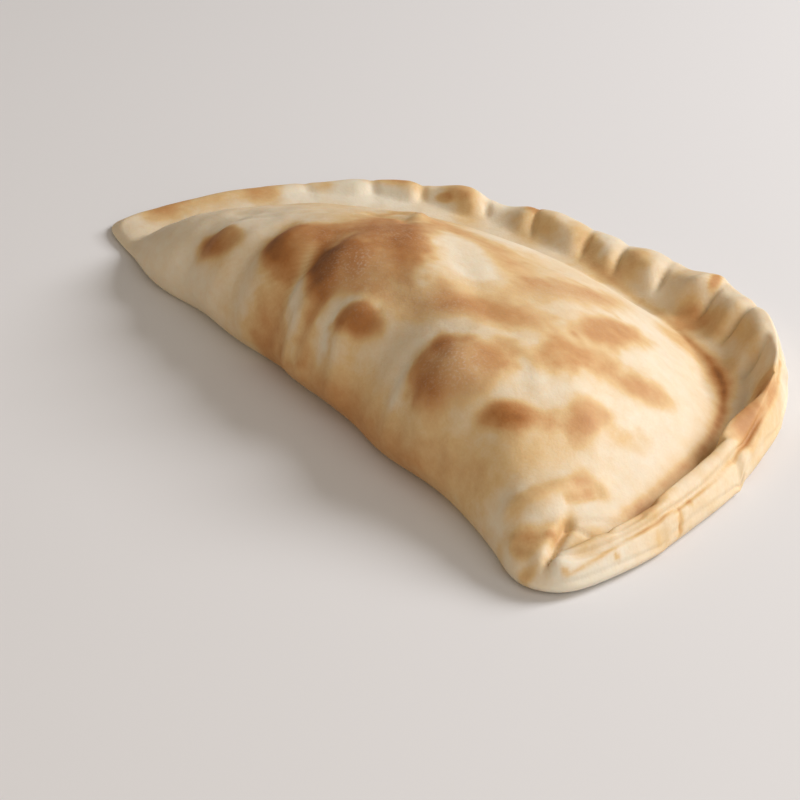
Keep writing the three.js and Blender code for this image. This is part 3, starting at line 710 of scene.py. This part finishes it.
def bake_caps_and_paint_shade(left, x, y, z, shake):
    """What the caps leave pale: times one minus each veil, which fades from the steep side on; the extra
    darkness on the steep side is painted shade.
    """
    for cx, cy, before, after, near, far, turn, strength, softness in CAP_TOAST:
        gauge, along = egg_gauge(x, y, cx, cy, before, after, near, far, turn)
        veil = patch(gauge, strength, softness, CAP_SHAKE * shake) * (1 - CAP_STEEP_SIDE_SHADE * along)
        left = left * (1 - veil * ease(*CAP_ABOVE, z))
    return left


print("caps and cores:", len(CAP_TOAST))

# %% [markdown]
# ## Browned patches on the dome, the tip and the far side
# Between the caps the dome is mottled gold, where the skin rose a little. The tip and the far
# side have freckles and soft clouds. These are plain ellipses laid out in plan. A negative
# strength lightens a place that neighbouring patches would make too dark; the one at x 96, y 66
# is painted light on the dome's near right flank above the valley.

# %% Patches in plan: x, y, half length, half width, turn, strength, softness
TOP_TOAST_AND_PAINTED_LIGHT = [
    (-3, 22, 19, 13, 0, 0.32, 0.6), (-7, 37, 24, 6.5, -32, 0.36, 0.5),
    (-32, 44, 15, 8, -50, 0.40, 0.6), (-24, 38, 28, 14, -28, 0.30, 0.7),
    (-36, 25, 8, 8, 0, 0.30, 0.6), (23, 25, 17, 8, 30, 0.32, 0.7), (41, 40, 15, 8, 39, 0.34, 0.6),
    (30, 32, 26, 14, 35, 0.14, 0.8), (67, 44, 13, 7.2, -67, 0.40, 0.5),
    (69, 57, 12, 5.6, -55, 0.30, 0.6), (76, 62, 9, 6, 85, 0.22, 0.7),
    (82, 70, 9, 5.4, 82, 0.34, 0.6), (91, 38, 11, 5, 90, 0.42, 0.6),
    (96, 32, 6.4, 4, -65, 0.32, 0.6), (99, 49, 9.6, 4, 88, 0.28, 0.6),
    (53, 76, 17, 7.6, -74, 0.50, 0.5), (28, 73, 20, 8, -84, 0.32, 0.7),
    (30, 89, 18, 6.4, -60, 0.26, 0.7), (6, 74, 20, 11, -28, 0.20, 0.8),
    (34, 52, 40, 22, -10, 0.14, 0.7), (82, 64, 12, 7, -60, 0.16, 0.9),
    # The negative patch at x 96, y 66 is painted light on the dome's flank.
    (96, 66, 10, 26, 0, -0.20, 0.8), (98, 36, 14, 10, -40, 0.12, 0.9),
    (96, 14, 14, 9, -40, 0.14, 0.9), (-50, 40, 26, 14, -20, 0.14, 0.8),
    (-60, 90, 26, 18, -40, 0.16, 0.9), (-96, 50, 34, 18, 40, 0.24, 0.9),
    (5, 100, 24, 14, -20, 0.14, 0.9), (-24, 68, 30, 10, -5, 0.42, 0.8),
    (13, 24.5, 8, 6, -6, -0.45, 0.7), (-20, 51, 12, 7, -35, 0.34, 0.6),
    (-14, 37, 15, 7, 0, 0.36, 0.8), (-33, 32, 8, 6, 0, 0.18, 0.8),
    (-53, 85, 12, 7, -40, 0.18, 0.9),
]
TIP_TOAST = [
    (117, -3, 9, 2.6, 43, 0.20, 0.7), (122, 1, 1.8, 1.1, 76, 0.30, 0.7),
    (130, 8, 5, 4.2, -64, 0.26, 0.7), (127, 15, 4.6, 3.7, 20, 0.22, 0.7),
    (132, 35, 3.5, 2.4, -76, 0.12, 0.7), (123, 36, 7.6, 3.6, -66, 0.34, 0.8),
    (109, 22, 5, 3, -60, 0.24, 0.7), (134, -2, 1.2, 0.8, 71, 0.3, 0.5),
    (135, 16, 1.2, 0.8, 83, 0.3, 0.5), (125, 51, 1.4, 0.9, -11, 0.3, 0.5),
]
FAR_TOAST = [
    (-101, 122, 9, 4.7, 0, 0.32, 0.6), (-102, 116, 4, 1.8, 17, 0.34, 0.5),
    (-90, 118, 10, 5, -20, 0.24, 0.8), (-63, 128, 13, 7, -30, 0.24, 0.8),
    (-71, 136, 4.7, 3.2, -23, 0.42, 0.5), (-56, 132, 8, 3.7, -26, 0.16, 0.7),
    (-44, 135, 9, 5, -15, 0.18, 0.7), (-34, 133, 8, 4.4, -37, 0.26, 0.6),
    (-18, 134, 8.5, 6.8, 81, 0.20, 0.7), (-13, 140, 7.4, 4.3, -23, 0.20, 0.6),
    (25, 132, 7, 5, -29, 0.36, 0.6), (36, 134, 9, 4, -14, 0.22, 0.7),
    (52, 134, 14, 3, -26, 0.20, 0.7), (20, 147, 5.3, 1.9, -56, 0.50, 0.5),
    (62, 117, 9.6, 4.2, -37, 0.20, 0.7), (89, 109, 17, 3, -41, 0.20, 0.7),
    (103, 91, 11, 4, -45, 0.36, 0.7), (-156, 25, 8, 6, -74, 0.36, 0.8),
    (-148, 63, 8.5, 7.2, -13, 0.36, 0.6), (-126, 107, 9.5, 4.5, 36, 0.36, 0.6),
    (-152, 45, 26, 7, -78, 0.16, 0.8), (-163, 40, 14, 3, -80, 0.24, 0.8),
]


def bake_patches_and_paint_light(left, x, y, shake):
    """What the patches leave pale: times one minus the veil of each ellipse; the negative veil at x 96, y
    66 is painted light.
    """
    for cx, cy, a, b, turn, strength, softness in TOP_TOAST_AND_PAINTED_LIGHT + TIP_TOAST + FAR_TOAST:
        veil = patch(ellipse_gauge(x, y, cx, cy, a, b, turn), strength, softness, shake)
        left = left * (1 - veil)
    return left


print("patches:", len(TOP_TOAST_AND_PAINTED_LIGHT + TIP_TOAST + FAR_TOAST))

# %% [markdown]
# ## Browning, painted shade and painted highlights on the fold
# The fold stands almost upright, so a patch laid out in plan would smear down it. Its patches are
# laid out in x and height instead, and fade out on the top and past the near tip. Most are
# browning, but the broad, low ones are painted shade that darkens the wall towards its foot, and
# the negative one beside the nose is painted light. Light and dark bands follow the hollows and
# the undersides of the pillows, along short paths: the dark ones are browning with painted shade
# in the hollows and under the pillows, and the light ones are painted highlights.

# %% Patches on the fold, and bands along paths
# x, height, half length, half height, turn, strength, softness
# The broad, low patches are painted shade towards the foot of the wall, the negative one at x 106 is
# painted light, and the rest are browning.
FOLD_TOAST_AND_PAINTED_LIGHT = [
    (-58, 22, 6, 12, 0, 0.12, 0.9), (-10, 24, 4, 9, 5, 0.28, 0.8), (-34, 17, 8, 15, 0, 0.42, 0.7),
    (-44, 22, 6, 10, 0, 0.10, 0.8), (58, 32, 6, 5, -30, 0.20, 0.7), (52, 14, 10, 8, 0, 0.10, 0.9),
    (62, 7, 16, 7, 0, 0.08, 0.9), (120, 11.5, 5, 3.2, -12, 0.36, 0.6),
    (126, 6, 2.4, 4.6, -20, 0.30, 0.7), (38, 8, 60, 14, 0, 0.24, 0.8),
    (20, 18, 26, 16, 0, 0.12, 0.9), (0, 8, 50, 8, 0, 0.10, 0.9), (10, 5, 62, 8, 0, 0.22, 0.9),
    (84, 16, 16, 7, 0, 0.16, 0.9), (106, 16, 7, 6, 0, -0.15, 0.8), (78, 25, 26, 9, 0, 0.16, 0.9),
    (-22, 14, 7, 9, 0, 0.24, 0.9), (8, 14, 16, 6, 0, 0.14, 0.9),
]
FOLD_PATCH_DEEP, FOLD_PATCH_ENDS_X, FOLD_PATCH_FADE = (34, 22), 100, 0.8
# strength, reach, path
# Dark bands are browning, with painted shade where they lie in hollows, under the pillows and under the
# ridge at the tip; negative bands are painted highlights.
BANDS_OF_TOAST_SHADE_AND_HIGHLIGHT = [
    (-0.30, 6.0, [(-14, 62), (-2, 58), (14, 49)]), (-0.45, 2.0, [(-28, 6), (-32, 13), (-36, 18)]),
    (-0.25, 2.6, [(0, -1), (0, 4), (4, 9)]), (-0.35, 2.0, [(43, -1), (39, 6), (40, 14), (46, 20)]),
    (0.40, 4.0, [(-23, 23), (-22, 17), (-21, 12), (-18, 8), (-15, 5), (-10, 3)]),
    (0.20, 3.4, [(44, 17), (42, 9), (47, 4), (53, 1), (61, 1)]),
    (0.24, 4.0, [(-57, 22), (-50, 11), (-46, 5)]), (0.20, 3.0, [(-88, 6), (-80, 2), (-68, 1)]),
    (0.22, 3.0, [(8, 3), (13, 4), (18, 8)]),
    (0.28, 3.2, [(109, -2), (110, 5), (110.5, 12), (111.5, 20), (114, 26)]),
    (0.26, 1.2, [(114.5, 13), (115, 18), (114.5, 22)]),
]
BAND_SOFTNESS, BAND_ABOVE = 0.8, (6, 14)


def bake_fold_and_paint_light(left, x, y, z, shake):
    """What the fold's patches leave pale, with painted shade low on the wall, then the bands, which
    lighten where negative as painted highlights.
    """
    past_end = np.maximum(x - FOLD_PATCH_ENDS_X, 0)
    on_fold = ease(*FOLD_PATCH_DEEP, y + FOLD_PATCH_FADE * past_end)
    for cx, cz, a, b, turn, strength, softness in FOLD_TOAST_AND_PAINTED_LIGHT:
        veil = patch(ellipse_gauge(x, z, cx, cz, a, b, turn), strength, softness, shake)
        left = left * (1 - veil * on_fold)
    # The bands: browning and painted shade where dark, painted highlights where negative.
    for strength, width, path in BANDS_OF_TOAST_SHADE_AND_HIGHLIGHT:
        away = path_distance(x, y, path)[0] / width
        veil = patch(away * away, strength, BAND_SOFTNESS, shake) * ease(*BAND_ABOVE, z)
        left = np.minimum(left * (1 - veil), 1)
    return left


print("fold patches:", len(FOLD_TOAST_AND_PAINTED_LIGHT), "bands:", len(BANDS_OF_TOAST_SHADE_AND_HIGHLIGHT))

# %% [markdown]
# ## Browning of the rim, with painted shade at its foot and in the seam
# The rim's lumps brown like the pillows, and they are placed by bearing and distance inward; a few
# of them also paint shade on the rim's inner face. The foot line is where dome and rim meet: there
# a broad band with a narrow line in it is painted shade in the crease between them, mixed with
# some browning. The open seam is painted as a dark line of shade, and the crack is darkened too.

# %% Rim patches, foot line, seam and crack
# bearing, inward, spread of bearing, strength, spread inward
# Most entries are browned lumps; those at bearings 17, 45 and 54 are partly painted shade on the rim's
# inner face and near its foot.
RIM_TOAST_AND_SHADE = [
    (155, 8, 3.5, 0.20, 6), (117, 8, 3.5, 0.08, 7), (83, 9, 5, 0.12, 8),
    (172.5, 12, 2.4, -0.30, 7), (165, 14, 2.6, -0.35, 8), (159.5, 15, 2.6, -0.25, 8),
    (52, 20, 5, 0.04, 9), (42, 20, 6, 0.06, 8), (54, 35, 7, 0.30, 7), (45, 25, 6, 0.20, 5),
    (96, 22, 6, 0.16, 6), (10, 10, 6, 0.08, 5), (30, 7, 6, 0.34, 4), (17, 7, 6, 0.36, 3.5),
    (4, 11, 9, 0.20, 4), (-12, 9, 6, 0.18, 5), (68, 24, 9, 0.18, 8), (170, 7, 6, 0.20, 6),
    (188, 6, 8, 0.20, 6), (55, 18, 40, 0.08, 16), (24, 2, 9, 0.18, 4), (-22, 2, 7, -0.15, 5),
    (0, 1, 14, 0.12, 6), (109, 26, 10, 0.16, 7),
]
RIM_SOFTNESS = 0.7
FOOT_AT = [-30, -15, -8, 5, 13, 22, 30, 40, 50, 58, 66, 85, 100, 215]
FOOT_INWARD = [11, 12.5, 14, 15.4, 16.6, 18.2, 19.6, 21.5, 25.5, 29.5, 30, 27, 24, 22]
# Painted shade, with some browning, along the foot line by bearing.
FOOT_SHADE_AND_TOAST = [0, 0.06, 0.28, 0.38, 0.46, 0.54, 0.60, 0.66, 0.58, 0.38, 0.24, 0.24, 0.14, 0]
FOOT_SPREAD, FOOT_LINE_SPREAD = 3.6, 1.4
FOOT_SHARE, FOOT_LINE_SHARE, FOOT_SHAKE = 0.5, 0.5, 0.3
# The seam's dark line is painted shade in its groove; the crack is darkened by its own share.
SEAM_SHADE, SEAM_SHADE_SPREAD, SEAM_SHADE_ABOVE, SEAM_SHAKE = 0.32, 0.5, (6, 8), 0.6
CRACK_DARKENING = 0.35
BASE_TOAST, BASE_SHAKE = 0.10, 0.05


def bake_rim_and_paint_foot_shade(left, inward, bearings, shake):
    """What the rim's patches and the painted shade of the foot line leave pale, by bearing and distance
    inward.
    """
    for at, deep, spread, strength, wide in RIM_TOAST_AND_SHADE:
        gauge = ((bearings - at) / spread) ** 2 + ((inward - deep) / wide) ** 2
        left = left * (1 - patch(gauge, strength, RIM_SOFTNESS, shake))
    from_foot = inward - table(bearings, FOOT_AT, FOOT_INWARD)
    foot = FOOT_SHARE * bell(from_foot, 0, FOOT_SPREAD)
    foot = foot + FOOT_LINE_SHARE * bell(from_foot, 0, FOOT_LINE_SPREAD)
    return left * (1 - table(bearings, FOOT_AT, FOOT_SHADE_AND_TOAST) * foot * (1 + FOOT_SHAKE * shake))


def paint_seam_shade_and_darken_crack(left, inward, bearings, z, shake):
    """What the painted shade in the seam and the darkened crack leave pale."""
    seam = bell(inward, table(bearings, SEAM_AT, SEAM_INWARD), SEAM_SHADE_SPREAD)
    seam = seam * seam_stretch(bearings) * ease(*SEAM_SHADE_ABOVE, z)
    left = left * (1 - SEAM_SHADE * seam * (1 + SEAM_SHAKE * shake))
    return left * (1 - CRACK_DARKENING * np.clip(cracks(bearings, inward, z), 0, 1))


def brown_and_paint_light(points, bearings):
    """Toast with painted shade and painted highlights, from 0 to 1: one minus what all veils leave pale,
    plus a little everywhere.
    """
    x, y, z = points[..., 0], points[..., 1], points[..., 2]
    shake = noise_sum(points, SHAKES)
    inward = rim_distance(x, y)[0]
    left = bake_caps_and_paint_shade(np.ones_like(x), x, y, z, shake)
    left = bake_patches_and_paint_light(left, x, y, shake)
    left = bake_fold_and_paint_light(left, x, y, z, shake)
    left = bake_rim_and_paint_foot_shade(left, inward, bearings, shake)
    left = paint_seam_shade_and_darken_crack(left, inward, bearings, z, shake)
    return np.clip(1 - left + BASE_TOAST + BASE_SHAKE * shake, 0, 1)


# This field holds the browning together with painted shade and painted highlights.
toast_and_painted_light = brown_and_paint_light(points, bearings)
print("toast, mean and most:", np.round([toast_and_painted_light.mean(), toast_and_painted_light.max()], 2))

# %% [markdown]
# ## Flour
# The dough is rolled out on flour, and some of it stays on the crust as a pale veil, most on the
# pillows. It is a second field, because flour lies over the browning and doesn't add to it.

# %% Flour: x, y, spread along, spread across, turn, strength
FLOUR = [
    (58, 12, 12, 9, 0, 0.8), (-7, 18, 12, 10, 0, 0.7), (-18, 40, 24, 14, 25, 0.42),
    (26, 24, 26, 12, 10, 0.55), (34, 74, 30, 18, -60, 0.6), (100, 60, 22, 24, 0, 0.20),
    (-38, 24, 10, 8, 0, 0.35), (8, 8, 5, 4, 0, 0.3),
]
FLOUR_ABOVE = (10, 16)


def dust(points):
    """Flour left on the crust, from 0 to 1: the greatest of its soft patches."""
    x, y = points[..., 0], points[..., 1]
    veils = [deep * np.exp(-ellipse_gauge(x, y, cx, cy, a, b, turn)) for cx, cy, a, b, turn, deep in FLOUR]
    return np.max(veils, axis=0) * ease(*FLOUR_ABOVE, points[..., 2])


flour = dust(points)
print("flour, mean and most:", np.round([flour.mean(), flour.max()], 2))

# %% [markdown]
# ## One closed mesh
# Neighbouring columns are joined by quads, the hub is closed by a fan of triangles, and one flat
# face closes the base that lies on the plate. Browning, with the painted shade and highlights laid
# into it, and flour go along as attributes on the points, so they stay where they are baked,
# however the material is changed later.

# %% The mesh with its attributes
def build_mesh(name, points, fields):
    """Quads between neighbouring columns, a fan at the hub and one face for the flat base."""
    columns, rows = points.shape[:2]
    places = (points[:, :-1] - np.array([*PLAN_CENTRE, 0])).reshape(-1, 3)
    hub = points[0, -1] - np.array([*PLAN_CENTRE, 0])
    verts = np.concatenate([places, hub[None]]) * MM
    index = np.arange(columns * (rows - 1)).reshape(columns, rows - 1)
    after = np.roll(index, -1, 0)
    quads = np.stack([index[:, :-1], after[:, :-1], after[:, 1:], index[:, 1:]], -1).reshape(-1, 4)
    fan = np.stack([index[:, -1], after[:, -1], np.full(columns, len(verts) - 1)], -1)
    faces = quads.tolist() + fan.tolist() + [index[::-1, 0].tolist()]
    mesh = bpy.data.meshes.new(name)
    mesh.from_pydata(verts.tolist(), [], faces)
    mesh.shade_smooth()
    mesh.polygons[len(faces) - 1].use_smooth = False
    for field, grid in fields.items():
        flat = np.concatenate([grid[:, :-1].ravel(), grid[:1, -1]]).astype(np.float32)
        layer = mesh.attributes.new(field, "FLOAT", "POINT")
        layer.data.foreach_set("value", flat)
    mesh.validate()
    piece = bpy.data.objects.new(name, mesh)
    bpy.context.scene.collection.objects.link(piece)
    return piece


calzone = build_mesh("calzone_crust", points, {"toast_and_painted_light": toast_and_painted_light, "flour": flour})
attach(calzone, "root")
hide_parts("calzone")
print("triangles:", sum(len(p.vertices) - 2 for p in calzone.data.polygons))

# %% [markdown]
# ## The dough material
# Baked dough is matt and a little translucent. Its colour runs from cream over gold to dark
# brown, so one colour ramp reads the attribute of browning, which also carries the painted shade
# and highlights. Noise at two scales shakes that level before it reaches the ramp, and a fine
# grain stands for flour and pores. A ramp keeps the colours of all patches in one family, which
# is how real browning looks.

# %% Colours, and two helpers for node trees
FLOUR_COLOUR = (0.66, 0.52, 0.40)
BAKE_COLOURS = [
    (0.00, (0.77, 0.70, 0.57)), (0.16, (0.745, 0.62, 0.45)), (0.36, (0.68, 0.475, 0.24)),
    (0.58, (0.55, 0.297, 0.118)), (0.80, (0.40, 0.162, 0.043)), (1.00, (0.22, 0.080, 0.020)),
]


def add(tree, kind, **settings):
    """A node of that kind, with its properties or its unlinked inputs set."""
    node = tree.nodes.new(kind)
    for key, value in settings.items():
        if hasattr(node, key):
            setattr(node, key, value)
        else:
            node.inputs[key.replace("_", " ")].default_value = value
    return node


def sum_up(tree, a, b, scale):
    """a times scale plus b, as a math node. b is a socket or a number."""
    node = add(tree, "ShaderNodeMath", operation="MULTIPLY_ADD")
    tree.links.new(a, node.inputs[0])
    node.inputs[1].default_value = scale
    if hasattr(b, "is_linked"):
        tree.links.new(b, node.inputs[2])
    else:
        node.inputs[2].default_value = b
    return node.outputs[0]


print("bake colours:", len(BAKE_COLOURS))

# %% [markdown]
# ## Putting the material together
# The skin is a Principled shader with weak subsurface scattering, because light goes a few
# millimetres into bread. The ramp gives the baked colour, and a mix lays the flour over it, thick
# on the grains and thin between them. The same two noises drive a slight bump, so the specks of
# colour and the specks of relief fall together.

# %% Dough material
ROUGHNESS, SPECULAR = 0.62, 0.35
SCATTER, SCATTER_RADIUS, SCATTER_SCALE = 0.15, (1.0, 0.5, 0.25), 0.004
MOTTLE_SCALE, MOTTLE_DETAIL, MOTTLE_SHARE = 230.0, 4.0, 0.22
GRAIN_SCALE, GRAIN_DETAIL, GRAIN_SHARE = 1100.0, 2.0, 0.10
NOISE_MIDDLE = -0.16
SPECKS_FROM, SPECKS_TO, SPECKS_LEAST, SPECKS_MOST = 0.50, 0.66, 0.12, 0.7
BUMP_GRAIN_SHARE, BUMP_STRENGTH, BUMP_HEIGHT = 0.35, 0.35, 0.0006


def bake_ramp(tree, level):
    """Colour ramp with the bake colours as its stops."""
    ramp = add(tree, "ShaderNodeValToRGB")
    stops = ramp.color_ramp.elements
    while len(stops) < len(BAKE_COLOURS):
        stops.new(0.5)
    for stop, (position, colour) in zip(stops, BAKE_COLOURS):
        stop.position = position
        stop.color = (*colour, 1.0)
    tree.links.new(level, ramp.inputs["Fac"])
    return ramp.outputs["Color"]


def flour_coat(tree, baked_and_painted_light, grain):
    """Baked colour, painted shade and highlights included, with flour mixed in: the flour attribute times
    specks made from the grain.
    """
    dusty = add(tree, "ShaderNodeAttribute", attribute_name="flour").outputs["Fac"]
    specks = add(
        tree, "ShaderNodeMapRange",
        From_Min=SPECKS_FROM, From_Max=SPECKS_TO, To_Min=SPECKS_LEAST, To_Max=SPECKS_MOST,
    )
    tree.links.new(grain, specks.inputs["Value"])
    veil = add(tree, "ShaderNodeMath", operation="MULTIPLY")
    tree.links.new(dusty, veil.inputs[0])
    tree.links.new(specks.outputs["Result"], veil.inputs[1])
    coat = add(tree, "ShaderNodeMix", data_type="RGBA")
    tree.links.new(veil.outputs[0], coat.inputs["Factor"])
    tree.links.new(baked_and_painted_light, coat.inputs[6])
    coat.inputs[7].default_value = (*FLOUR_COLOUR, 1.0)
    return coat.outputs[2]


def dough_material():
    """Ramp of bake colours on the shaken level of browning and painted light, with flour over it, and bump
    at two scales.
    """
    material = bpy.data.materials.new("baked_dough")
    material.use_nodes = True
    tree = material.node_tree
    tree.nodes.clear()
    out = add(tree, "ShaderNodeOutputMaterial")
    skin = add(tree, "ShaderNodeBsdfPrincipled", Roughness=ROUGHNESS)
    skin.inputs["Specular IOR Level"].default_value = SPECULAR
    skin.inputs["Subsurface Weight"].default_value = SCATTER
    skin.inputs["Subsurface Radius"].default_value = SCATTER_RADIUS
    skin.inputs["Subsurface Scale"].default_value = SCATTER_SCALE
    tree.links.new(skin.outputs[0], out.inputs[0])
    where = add(tree, "ShaderNodeTexCoord").outputs["Object"]
    mottle = add(tree, "ShaderNodeTexNoise", Scale=MOTTLE_SCALE, Detail=MOTTLE_DETAIL)
    grain = add(tree, "ShaderNodeTexNoise", Scale=GRAIN_SCALE, Detail=GRAIN_DETAIL)
    for texture in (mottle, grain):
        tree.links.new(where, texture.inputs["Vector"])
    # The attribute holds the browning with painted shade and painted highlights.
    baked_and_painted_light = add(tree, "ShaderNodeAttribute", attribute_name="toast_and_painted_light").outputs["Fac"]
    shaken = sum_up(tree, mottle.outputs["Fac"], baked_and_painted_light, MOTTLE_SHARE)
    shaken = sum_up(tree, grain.outputs["Fac"], shaken, GRAIN_SHARE)
    colour = bake_ramp(tree, sum_up(tree, shaken, NOISE_MIDDLE, 1.0))
    tree.links.new(flour_coat(tree, colour, grain.outputs["Fac"]), skin.inputs["Base Color"])
    heights = sum_up(tree, grain.outputs["Fac"], mottle.outputs["Fac"], BUMP_GRAIN_SHARE)
    bump = add(tree, "ShaderNodeBump", Strength=BUMP_STRENGTH, Distance=BUMP_HEIGHT)
    tree.links.new(heights, bump.inputs["Height"])
    tree.links.new(bump.outputs["Normal"], skin.inputs["Normal"])
    return material


calzone.data.materials.append(dough_material())
print("material:", calzone.data.materials[0].name)

# %% [markdown]
# ## The floor
# The calzone stands on a plain pale floor, a little cool in colour, so that the warm crust stands
# out. It is stage only, and no part of the calzone.

# %% Floor
FLOOR_HALF = 6
FLOOR_COLOUR, FLOOR_ROUGHNESS, FLOOR_SPECULAR = (0.75, 0.755, 0.79), 0.7, 0.2


def plain_material(name, colour, roughness):
    """One colour, for the floor."""
    material = bpy.data.materials.new(name)
    material.use_nodes = True
    skin = material.node_tree.nodes["Principled BSDF"]
    skin.inputs["Base Color"].default_value = (*colour, 1.0)
    skin.inputs["Roughness"].default_value = roughness
    skin.inputs["Specular IOR Level"].default_value = FLOOR_SPECULAR
    return material


floor_mesh = bpy.data.meshes.new("floor")
floor_corners = [(FLOOR_HALF * x, FLOOR_HALF * y, 0) for x, y in [(-1, -1), (1, -1), (1, 1), (-1, 1)]]
floor_mesh.from_pydata(floor_corners, [], [(0, 1, 2, 3)])
floor = bpy.data.objects.new("floor", floor_mesh)
bpy.context.scene.collection.objects.link(floor)
floor_mesh.materials.append(plain_material("pale_floor", FLOOR_COLOUR, FLOOR_ROUGHNESS))
print("floor, m:", 2 * FLOOR_HALF, "square")

# %% [markdown]
# ## Soft light
# One large soft lamp to the right models the dome and leaves the fold in warm shade. A weak warm
# lamp from the left keeps that shade open, a broad one in front lights the near tip, and an even
# sky fills the rest. Large lamps close by give the soft edges of a studio.

# %% Lamps and sky
VIEW_RIGHT = Vector((0.54854, 0.83613, 0.0))
VIEW_AWAY = Vector((-0.83613, 0.54854, 0.0))
UP = Vector((0.0, 0.0, 1.0))
# name, direction, distance, size, power, colour
LAMPS = [
    ("key", VIEW_RIGHT + VIEW_AWAY * 0.28 + UP * 0.70, 1.7, 0.8, 29.5, (1.0, 0.98, 0.96)),
    ("warm_fill", -VIEW_RIGHT - VIEW_AWAY * 0.5 + UP * 0.3, 1.4, 0.9, 1.9, (1.0, 0.76, 0.42)),
    ("front_fill", -VIEW_AWAY + VIEW_RIGHT * 0.5 + UP * 0.6, 1.7, 1.2, 9.0, (1.0, 0.93, 0.84)),
]
LAMP_TARGET = Vector((0.0, 0.0, 0.02))
SKY_COLOUR, SKY_STRENGTH = (1.0, 0.87, 0.72), 0.27


def soft_lamp(name, direction, distance, size, power, colour):
    """A square area lamp that looks at the calzone from that direction."""
    data = bpy.data.lights.new(name, "AREA")
    data.size = size
    data.energy = power
    data.color = colour
    lamp = bpy.data.objects.new(name, data)
    direction = direction.normalized()
    lamp.location = direction * distance + LAMP_TARGET
    lamp.rotation_mode = "QUATERNION"
    lamp.rotation_quaternion = direction.to_track_quat("Z", "Y")
    bpy.context.scene.collection.objects.link(lamp)


for lamp_settings in LAMPS:
    soft_lamp(*lamp_settings)
world = bpy.data.worlds.new("studio")
bpy.context.scene.world = world
world.use_nodes = True
sky = world.node_tree.nodes["Background"]
sky.inputs["Color"].default_value = (*SKY_COLOUR, 1.0)
sky.inputs["Strength"].default_value = SKY_STRENGTH
bpy.context.scene.view_settings.view_transform = "Standard"
print("lamps:", [name for name, *_ in LAMPS])

# %% [markdown]
# ## The camera
# The camera looks down at the near tip from the side of the fold. Its lens is long, so that the
# half-moon is foreshortened little, and depth of field stays off, so that all of it is sharp.

# %% Camera
CAMERA_PLACE = np.array([640.29, -391.17, 410.77])
CAMERA_LOOK = (-0.7348, 0.48206, -0.47716)
CAMERA_CLIP = 0.01
LENS_PIXELS, FRAME_PIXELS, SENSOR = 2600.0, 800.0, 36.0
look = Vector(CAMERA_LOOK).normalized()
side = look.cross(UP).normalized()
lift = side.cross(look)
data = bpy.data.cameras.new("camera")
data.sensor_width = SENSOR
data.lens = SENSOR * LENS_PIXELS / FRAME_PIXELS
data.clip_start = CAMERA_CLIP
camera = bpy.data.objects.new("camera", data)
place = (CAMERA_PLACE - np.array([*PLAN_CENTRE, 0.0])) * MM
turn = Matrix((side, lift, -look)).transposed().to_4x4()
camera.matrix_world = Matrix.Translation(Vector(place.tolist())) @ turn
bpy.context.scene.collection.objects.link(camera)
bpy.context.scene.camera = camera
print("camera at, mm:", np.round(place / MM, 1).tolist())
